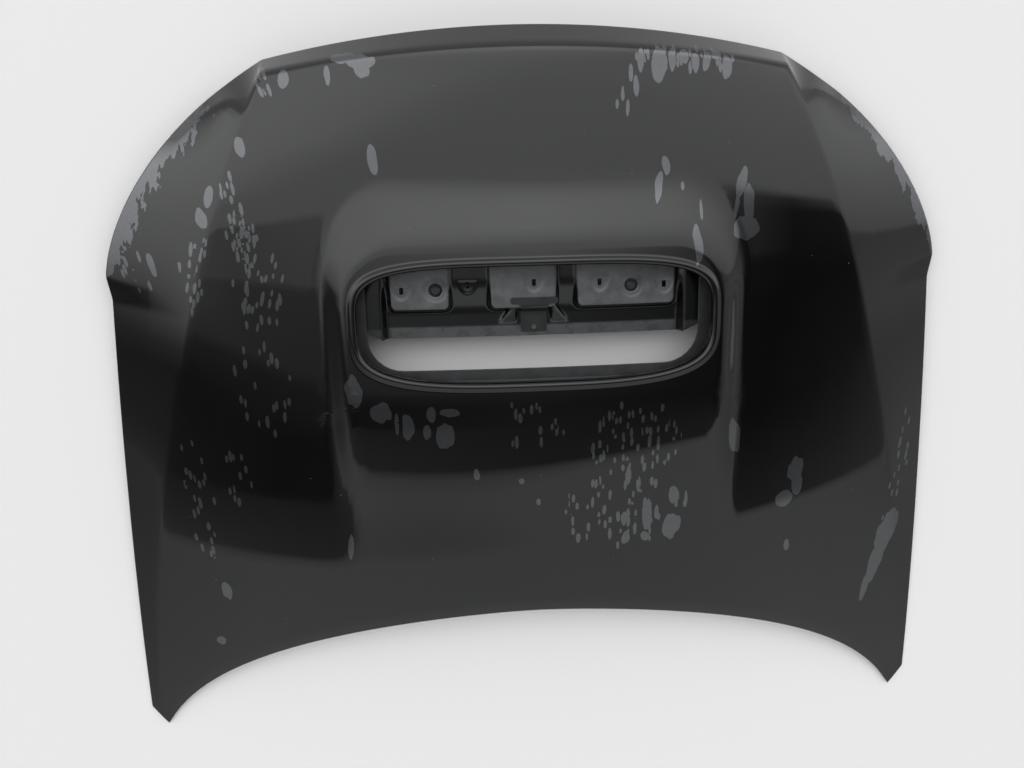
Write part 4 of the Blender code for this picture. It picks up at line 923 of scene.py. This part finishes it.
# Dried patches on the paint, seen from above with the nose up, in metres from the panel's middle:
# place, half width, half length, and a turn in degrees where there is one
stains = {
    "thin": "#535456", "thick": "#5f6062", "cloudSize": 0.006,
    "mirror": 0.85, "haze": 0.06,  # a dried patch mirrors more than clean paint does, and blurs a little
    "ragged": 0.50, "raggedSize": 0.015, "nibble": 0.05, "nibbleSize": 0.0022,
    "drawnOut": (1.0, 0.38, 1.0),  # the outlines run in streaks along the car
    "patches": (
        (-0.399, 0.562, 0.009, 0.013), (-0.327, 0.566, 0.005, 0.015), (-0.300, 0.592, 0.020, 0.009),
        (-0.274, 0.584, 0.024, 0.012), (-0.270, 0.572, 0.014, 0.012), (-0.476, 0.455, 0.008, 0.015, 10),
        (-0.260, 0.431, 0.008, 0.022, 4), (-0.535, 0.378, 0.007, 0.018, -8),
        (-0.550, 0.343, 0.010, 0.017), (-0.648, 0.267, 0.006, 0.023, 20), (-0.596, 0.268, 0.003, 0.014),
        (-0.580, -0.341, 0.009, 0.021, 6), (-0.604, -0.448, 0.009, 0.009),
        (-0.340, -0.248, 0.005, 0.027, -4), (-0.312, 0.052, 0.014, 0.026), (-0.268, 0.012, 0.017, 0.019),
        (-0.242, -0.006, 0.004, 0.020), (-0.223, -0.014, 0.010, 0.024), (-0.192, -0.022, 0.007, 0.014),
        (-0.182, 0.008, 0.008, 0.013), (-0.148, 0.012, 0.018, 0.008), (-0.160, -0.034, 0.014, 0.023),
        (-0.108, -0.105, 0.005, 0.010), (-0.030, -0.121, 0.005, 0.006), (0.000, -0.163, 0.004, 0.007),
        (0.180, 0.580, 0.005, 0.018), (0.210, 0.572, 0.013, 0.026), (0.232, 0.580, 0.006, 0.017),
        (0.252, 0.585, 0.009, 0.012), (0.273, 0.576, 0.007, 0.016), (0.292, 0.579, 0.006, 0.015),
        (0.308, 0.588, 0.008, 0.008), (0.326, 0.567, 0.009, 0.017), (0.163, 0.560, 0.004, 0.014),
        (0.172, 0.540, 0.005, 0.018), (0.150, 0.528, 0.003, 0.012), (0.141, 0.512, 0.003, 0.008),
        (0.158, 0.505, 0.003, 0.014), (0.222, 0.413, 0.006, 0.018, 6), (0.209, 0.376, 0.006, 0.025, -8),
        (0.250, 0.379, 0.003, 0.007), (0.281, 0.341, 0.003, 0.018), (0.274, 0.284, 0.008, 0.026, 8),
        (0.355, 0.385, 0.008, 0.028, -14), (0.366, 0.350, 0.009, 0.036),
        (0.347, 0.352, 0.004, 0.030, -10), (0.361, 0.306, 0.022, 0.020), (0.242, -0.228, 0.017, 0.026),
        (0.246, -0.165, 0.010, 0.018), (0.198, -0.200, 0.009, 0.034), (0.196, -0.245, 0.008, 0.010),
        (0.210, -0.222, 0.004, 0.026), (0.159, -0.245, 0.008, 0.013), (0.154, -0.205, 0.006, 0.014),
        (0.160, -0.120, 0.006, 0.020), (0.180, -0.140, 0.004, 0.016), (0.215, -0.198, 0.004, 0.016),
        (0.269, -0.176, 0.003, 0.017), (0.072, -0.240, 0.004, 0.011), (0.130, -0.235, 0.004, 0.013),
        (0.118, -0.185, 0.004, 0.010), (0.356, -0.058, 0.012, 0.032, 4),
        (0.480, -0.135, 0.016, 0.024, -10), (0.486, -0.165, 0.010, 0.024),
        (0.462, -0.192, 0.020, 0.014, 14), (0.475, -0.290, 0.005, 0.012),
        (0.688, -0.290, 0.020, 0.050, -16), (0.672, -0.345, 0.014, 0.050, -14),
        (0.655, -0.400, 0.007, 0.040, -12),
    ),
    # crazed areas, where the patches break up into cells drawn out along the car; last the share kept
    "crazed": (
        (-0.492, 0.335, 0.020, 0.080, 8, 0.75), (-0.565, 0.265, 0.016, 0.080, -10, 0.85),
        (-0.455, 0.225, 0.032, 0.070, -14, 0.45), (-0.478, 0.300, 0.020, 0.045, 0, 0.60),
        (-0.470, 0.120, 0.055, 0.170, 0, 0.16), (-0.435, 0.557, 0.010, 0.030, 20, 0.85),
        (0.255, 0.583, 0.085, 0.018, 0, 0.72), (-0.685, 0.262, 0.030, 0.050, 16, 0.45),
        (0.170, -0.050, 0.085, 0.070, 0, 0.40), (0.150, -0.190, 0.120, 0.070, 0, 0.30),
        (-0.610, -0.160, 0.030, 0.120, 4, 0.34), (-0.530, -0.130, 0.030, 0.080, 0, 0.26),
        (0.700, -0.180, 0.020, 0.140, -6, 0.30), (-0.010, -0.010, 0.060, 0.050, 0, 0.22),
    ),
    "cell": (0.0068, 0.021), "seed": 11, "nearest": 14,
    # how far a cell strays, its size and its length, as shares of a cell
    "stray": (0.25, 0.3), "cellSize": (0.30, 0.52), "cellLength": (0.7, 1.15),
    # the strip along the headlamp edges: its widths, the size of its rags, where it starts and stops,
    # each with its run, and how far in from the nose's corner it is looked for
    "lampStrip": {"left": 0.034, "right": 0.020}, "lampRag": 0.013, "lampRags": (-0.5, 2.6),
    "lampStart": (0.055, 0.05), "lampStop": (0.03, 0.10), "lampReach": 0.094,
    "dustSize": 0.016, "dustSpeck": 0.030, "dustShare": 0.12, "dust": "#8f8f8a", "dustRough": 0.8,
    "leastUp": 0.2,              # nothing has dried on faces that lean further over than this
}
lacquer = {"deep": "#020203", "filmed": "#080808", "filmSize": 0.09, "roughness": (0.002, 0.016),
           "ior": 1.5}
# Dust inside the pressings, laid on level faces together with painted top light: size of its clouds and
# grain, the least it covers and how much more
dust = {"cloud": 0.024, "grain": 0.0025, "cover": (0.25, 1.1), "grainCover": (0.75, 0.5),
        "fullLevel": 0.995, "rougher": 0.25, "relief": 0.0003}


def stainSpots():
    # the listed patches, and the cells that fill the crazed areas
    draw = random.Random(stains["seed"])
    spots = [(*patch, 0)[:5] for patch in stains["patches"]]
    wide, long = stains["cell"]
    strayWide, strayLong = (share * pitch for share, pitch in zip(stains["stray"], stains["cell"]))
    for x, y, halfWide, halfLong, turn, kept in stains["crazed"]:
        lean = Matrix.Rotation(math.radians(turn), 2)
        columns, rows = math.ceil(halfWide / wide), math.ceil(halfLong / long)
        for i in range(-columns, columns + 1):
            for j in range(-rows, rows + 1):
                at = Vector((i * wide, (j + 0.5 * (i % 2)) * long))
                at += Vector((draw.uniform(-strayWide, strayWide), draw.uniform(-strayLong, strayLong)))
                size = draw.uniform(*stains["cellSize"])
                if math.hypot(at.x / halfWide, at.y / halfLong) > 1 or draw.random() > kept:
                    continue
                at = lean @ at + Vector((x, y))
                length = long * size * draw.uniform(*stains["cellLength"])
                spots.append((at.x, at.y, wide * size, length, turn))
    return spots


def markStains(bm):
    # each face corner's place within the two patches that lie nearest to its face
    spots = stainSpots()
    tree = kdtree.KDTree(len(spots))
    for i, spot in enumerate(spots):
        tree.insert((spot[0], spot[1], 0.0), i)
    tree.balance()
    turns = [Matrix.Rotation(math.radians(-spot[4]), 2) for spot in spots]

    def within(point, i):
        local = turns[i] @ (point.xy - Vector(spots[i][:2]))
        return Vector((local.x / spots[i][2], local.y / spots[i][3], 0.0))

    layers = [bm.loops.layers.float_vector.new(name) for name in ("patchFirst", "patchSecond")]
    for face in bm.faces:
        middle = face.calc_center_median()
        found = [i for _, i, _ in tree.find_n((middle.x, middle.y, 0.0), stains["nearest"])]
        found.sort(key=lambda i: within(middle, i).length)
        for layer, i in zip(layers, found):
            for loop in face.loops:
                loop[layer] = within(loop.vert.co, i)


def stainMask(tree, place):
    # 1 inside a dried patch; the outlines wander over centimetres and fray a little over millimetres
    drawn = addNode(tree, "VectorMath", {0: place, 1: stains["drawnOut"]}, operation="MULTIPLY")
    wobble = clouds(tree, drawn, stains["raggedSize"], 0.6, output="Color")
    centred = addNode(tree, "VectorMath", {0: wobble, 1: (0.5, 0.5, 0.5)}, operation="SUBTRACT")
    shift = addNode(tree, "VectorMath", {0: centred, "Scale": 2 * stains["ragged"]}, operation="SCALE")
    nibble = clouds(tree, drawn, stains["nibbleSize"], 1.0)
    edge = calc(tree, "MULTIPLY_ADD", nibble, 2 * stains["nibble"], 1 - stains["nibble"])
    mask = 0.0
    for name in ("patchFirst", "patchSecond"):
        moved = addNode(tree, "VectorMath", {0: attribute(tree, name, "Vector"), 1: shift}, operation="ADD")
        level = addNode(tree, "VectorMath", {0: moved, 1: (1.0, 1.0, 0.0)}, operation="MULTIPLY")
        away = addNode(tree, "VectorMath", {0: level}, "Value", operation="LENGTH")
        mask = calc(tree, "MAXIMUM", calc(tree, "LESS_THAN", away, edge), mask)
    # a ragged strip along the headlamp edges
    rag = clouds(tree, drawn, stains["lampRag"], 3.0, 0.6)
    least, more = stains["lampRags"]
    wide = calc(tree, "MULTIPLY_ADD", rag, more, least)
    reach = calc(tree, "MULTIPLY", attribute(tree, "lampStrip"), wide)
    beside = calc(tree, "LESS_THAN", attribute(tree, "edgeGap"), reach)
    return calc(tree, "MAXIMUM", mask, beside)


def blackEnamel():
    # stoved black lacquer, polished smooth: the eye gets a deep black mirror with crisp edges in it,
    # broken by dried patches that mirror more and by single specks of dust
    made, tree, shader = newMaterial("glossBlackEnamel")
    place = addNode(tree, "TexCoord", {}, "Object")
    outside = calc(tree, "GREATER_THAN", facing(tree), stains["leastUp"])
    mask = calc(tree, "MULTIPLY", stainMask(tree, place), outside)
    dots = addNode(tree, "TexVoronoi", {"Vector": place, "Scale": 1 / stains["dustSize"]}, "Distance")
    kind = addNode(tree, "SeparateColor", {"Color": dots.node.outputs["Color"]}, "Green")
    small = calc(tree, "LESS_THAN", dots, stains["dustSpeck"])
    speck = calc(tree, "MULTIPLY", small, calc(tree, "LESS_THAN", kind, stains["dustShare"]))
    film = clouds(tree, place, lacquer["filmSize"], 5.0, 0.65)
    cloud = clouds(tree, place, stains["cloudSize"], 3.0, 0.6)
    black = blend(tree, film, lacquer["deep"], lacquer["filmed"])
    pale = blend(tree, cloud, stains["thin"], stains["thick"])
    color = blend(tree, speck, blend(tree, mask, black, pale), stains["dust"])
    mirror = calc(tree, "SUBTRACT", mask, speck, use_clamp=True)
    mirror = calc(tree, "MULTIPLY", mirror, stains["mirror"])
    least, more = lacquer["roughness"]
    rough = calc(tree, "MULTIPLY_ADD", film, more, least)
    rough = calc(tree, "MULTIPLY_ADD", mask, stains["haze"], rough)
    rough = calc(tree, "MAXIMUM", rough, calc(tree, "MULTIPLY", speck, stains["dustRough"]))
    feed(tree, shader, {"Base Color": color, "Metallic": mirror, "Roughness": rough, "IOR": lacquer["ior"]})
    return made


def dustyToplitBlack(name, clean, litDustColor, rough, leastLevel=0.90, settledAndLit=None):
    # thin black paint inside the pressings: dull black to the eye, greyed where a face lies level by dust
    # and by painted top light, which stands in for the sheen on level faces
    made, tree, shader = newMaterial(name)
    place = addNode(tree, "TexCoord", {}, "Object")
    # painted top light: the more a face looks up, the greyer it is painted, with the dust's clouds and
    # grain over it
    amount = addNode(tree, "MapRange", {"Value": facing(tree), "From Min": leastLevel,
                                        "From Max": dust["fullLevel"]}, interpolation_type="SMOOTHSTEP")
    if settledAndLit:
        amount = calc(tree, "MULTIPLY", amount, attribute(tree, settledAndLit))
    patchy = clouds(tree, place, dust["cloud"], 4.0)
    fine = clouds(tree, place, dust["grain"], 3.0, 0.7)
    for pattern, (least, more) in ((patchy, dust["cover"]), (fine, dust["grainCover"])):
        cover = calc(tree, "MULTIPLY_ADD", pattern, more, least, use_clamp=True)
        amount = calc(tree, "MULTIPLY", amount, cover)
    color = blend(tree, amount, clean, litDustColor)
    rougher = calc(tree, "MULTIPLY_ADD", amount, dust["rougher"], rough)
    bump = addNode(tree, "Bump", {"Height": fine, "Strength": 0.10, "Distance": dust["relief"]})
    feed(tree, shader, {"Base Color": color, "Roughness": rougher, "Normal": bump})
    return made


def plainFinish(name, first, second, size, rough, metallic, relief):
    # a mottled finish of two near colours; relief is the height of its grain in metres
    made, tree, shader = newMaterial(name)
    place = addNode(tree, "TexCoord", {}, "Object")
    mottle = clouds(tree, place, size, 4.0)
    color = blend(tree, mottle, first, second)
    rough = calc(tree, "MULTIPLY_ADD", mottle, 0.15, rough - 0.07)
    bump = addNode(tree, "Bump", {"Height": mottle, "Strength": 0.5, "Distance": relief})
    feed(tree, shader, {"Base Color": color, "Roughness": rough, "Normal": bump, "Metallic": metallic})
    return made


enamel = blackEnamel()
# the pressings' finishes: level faces greyed by dust and by painted top light
primer = dustyToplitBlack("dullBlackPaint", "#0c0d0e", "#303132", 0.30)
shelfPaint = dustyToplitBlack("dustyToplitBlackPaint", "#0b0c0d", "#545557", 0.15, 0.65, "settledAndLit")
bracketPaint = dustyToplitBlack("satinBlackPaint", "#08090a", "#1a1b1c", 0.13)
# zinc: a bright, faintly warm grey metal; mastic: dead matt, lumpy dark grey; plastic: black, soft sheen
zinc = plainFinish("zincPlate", "#a9acaf", "#c4c3bb", 0.006, 0.34, 1.0, 0.00005)
mastic = plainFinish("softMastic", "#2d2d2b", "#3f3e3a", 0.003, 0.85, 0.0, 0.0004)
plastic = plainFinish("blackPlastic", "#101011", "#17181a", 0.002, 0.45, 0.0, 0.00006)
print("finishes ready")
skinPiece, surface, borderSpots, borderFrames = makeSkin(enamel)
print("skin:", len(skinPiece.data.polygons), "faces")
shelfPiece = makeShelf(shelfPaint)
bracketPiece = makeBracket(bracketPaint)
print("shelf:", len(shelfPiece.data.polygons), "faces")
framePiece = makeFrame(surface, borderSpots, borderFrames, primer)
print("frame:", len(framePiece.data.polygons), "faces")

# the solid model's own pieces that stay, each with its finish
finishes = {"hinge_nut": zinc, "striker_nut": zinc, "striker_bolt": zinc, "striker_loop": zinc,
            "striker_plate": zinc, "mastic_pad": mastic, "scoop_stud": plastic}
for name, node in nodes.items():
    if name not in ("outer_skin", "inner_frame", "scoop_mounting_member", "centre_bracket"):
        finish = next((made for start, made in finishes.items() if name.startswith(start)), primer)
        if not node.material_slots:
            node.data.materials.append(finish)
        for slot in node.material_slots:
            slot.material = finish


# Studio: floor, sky and camera

studio = {
    "lens": 30.234, "sensor": 36.0,
    "eye": (-0.124, 0.4045, 1.557),
    "right": (0.99785, -0.02153, 0.06193), "up": (0.03557, 0.97123, -0.23548),
    "back": (-0.05508, 0.23718, 0.96990),
    "floorSize": 60.0, "floor": "#e4e3e2", "floorRough": 0.7,
    "skyTilt": 0.058,            # the ground line of the sky drops to the right, radians per unit of X
}


def makeFloor():
    made, tree, shader = newMaterial("paleFloor")
    feed(tree, shader, {"Base Color": hexColor(studio["floor"]), "Roughness": studio["floorRough"]})
    bm = bmesh.new()
    bmesh.ops.create_grid(bm, x_segments=2, y_segments=2, size=studio["floorSize"] / 2)
    floor = newObject("studio_floor", bm, made, None)
    return floor


def makeCamera():
    data = bpy.data.cameras.new("photoCamera")
    data.lens = studio["lens"]
    data.sensor_width = studio["sensor"]
    camera = bpy.data.objects.new("photoCamera", data)
    bpy.context.scene.collection.objects.link(camera)
    turn = Matrix((studio["right"], studio["up"], studio["back"])).transposed().to_4x4()
    camera.matrix_world = Matrix.Translation(Vector(studio["eye"]) + Vector((0, 0, panel["seat"]))) @ turn
    bpy.context.scene.camera = camera


# Brightness of the sky by the angle above the nose side's horizon, in degrees, for seven directions
# across: how far each leans to the side, then its steps
sky = (
    (-0.97, ((0, 0.4), (60, 1.4), (80, 0.9), (88, 0.2), (180, 0.2))),
    (-0.80, ((0, 1.0), (35, 1.0), (48, 2.6), (65, 2.05), (80, 1.75), (98, 1.3), (104, 0.4), (108, 0.13),
             (118, 0.2), (124, 0.4), (126, 0.6), (180, 0.3))),
    (-0.46, ((0, 1.0), (35, 1.0), (55, 2.3), (68, 2.3), (72.5, 2.15), (77.5, 1.5), (82.5, 1.4), (83.5, 0.8),
             (93.5, 0.7), (94.5, 0.45), (103.5, 0.34), (104.5, 0.18), (109.5, 0.07), (116.5, 0.07),
             (117.5, 0.2), (124.6, 0.3), (125.4, 0.88), (150, 0.9), (180, 0.5))),
    (0.10, ((0, 1.0), (35, 1.0), (50, 3.0), (62, 2.6), (68, 2.15), (71.7, 1.9), (75, 1.6), (88, 1.4),
            (93.5, 1.25), (95, 0.30), (110, 0.13), (119, 0.15), (124.6, 0.18), (125.4, 0.88), (150, 0.9),
            (180, 0.6))),
    (0.54, ((0, 1.0), (35, 1.0), (55, 2.3), (70, 1.7), (78, 1.5), (82, 1.4), (83.5, 0.30), (86, 0.10),
            (100, 0.04), (112, 0.05), (119, 0.13), (124.6, 0.2), (125.4, 0.88), (150, 0.9), (180, 0.6))),
    (0.68, ((0, 1.0), (35, 1.2), (55, 2.1), (70, 1.6), (80, 1.3), (84, 0.9), (86, 0.16), (100, 0.08),
            (112, 0.10), (119, 0.2), (124.6, 0.3), (125.4, 0.80), (150, 0.8), (180, 0.5))),
    (0.88, ((0, 1.0), (35, 1.4), (47, 2.05), (67, 1.45), (82, 1.0), (84, 0.6), (110, 0.65), (121, 0.5),
            (144, 0.6), (180, 0.4))),
)


def makeWorld():
    world = bpy.data.worlds.new("studioSky")
    world.use_nodes = True
    bpy.context.scene.world = world
    tree = world.node_tree
    toward = addNode(tree, "TexCoord", {}, "Generated")
    across = addNode(tree, "SeparateXYZ", {"Vector": toward}, "X")
    ahead, up = across.node.outputs["Y"], across.node.outputs["Z"]
    tilted = calc(tree, "MULTIPLY_ADD", across, studio["skyTilt"], calc(tree, "ARCTAN2", up, ahead))
    share = calc(tree, "DIVIDE", tilted, math.pi)
    level, leanBefore = None, None
    for lean, stops in sky:
        color = addNode(tree, "ValToRGB", {"Fac": share}, "Color")
        ramp = color.node.color_ramp
        ramp.elements[1].position = 1.0
        while len(ramp.elements) < len(stops):
            ramp.elements.new(0.5)
        for element, (degrees, bright) in zip(ramp.elements, stops):
            element.position = degrees / 180
            element.color = (bright * 0.99, bright, bright * 1.01, 1.0)
        if level is None:
            level = color
        else:
            mixed = addNode(tree, "MapRange", {"Value": across, "From Min": leanBefore, "From Max": lean})
            level = blend(tree, mixed, level, color)
        leanBefore = lean
    feed(tree, tree.nodes["Background"], {"Color": level, "Strength": 1.0})


makeFloor()
makeCamera()
makeWorld()
bpy.context.scene.view_settings.view_transform = "Standard"
print("studio ready")
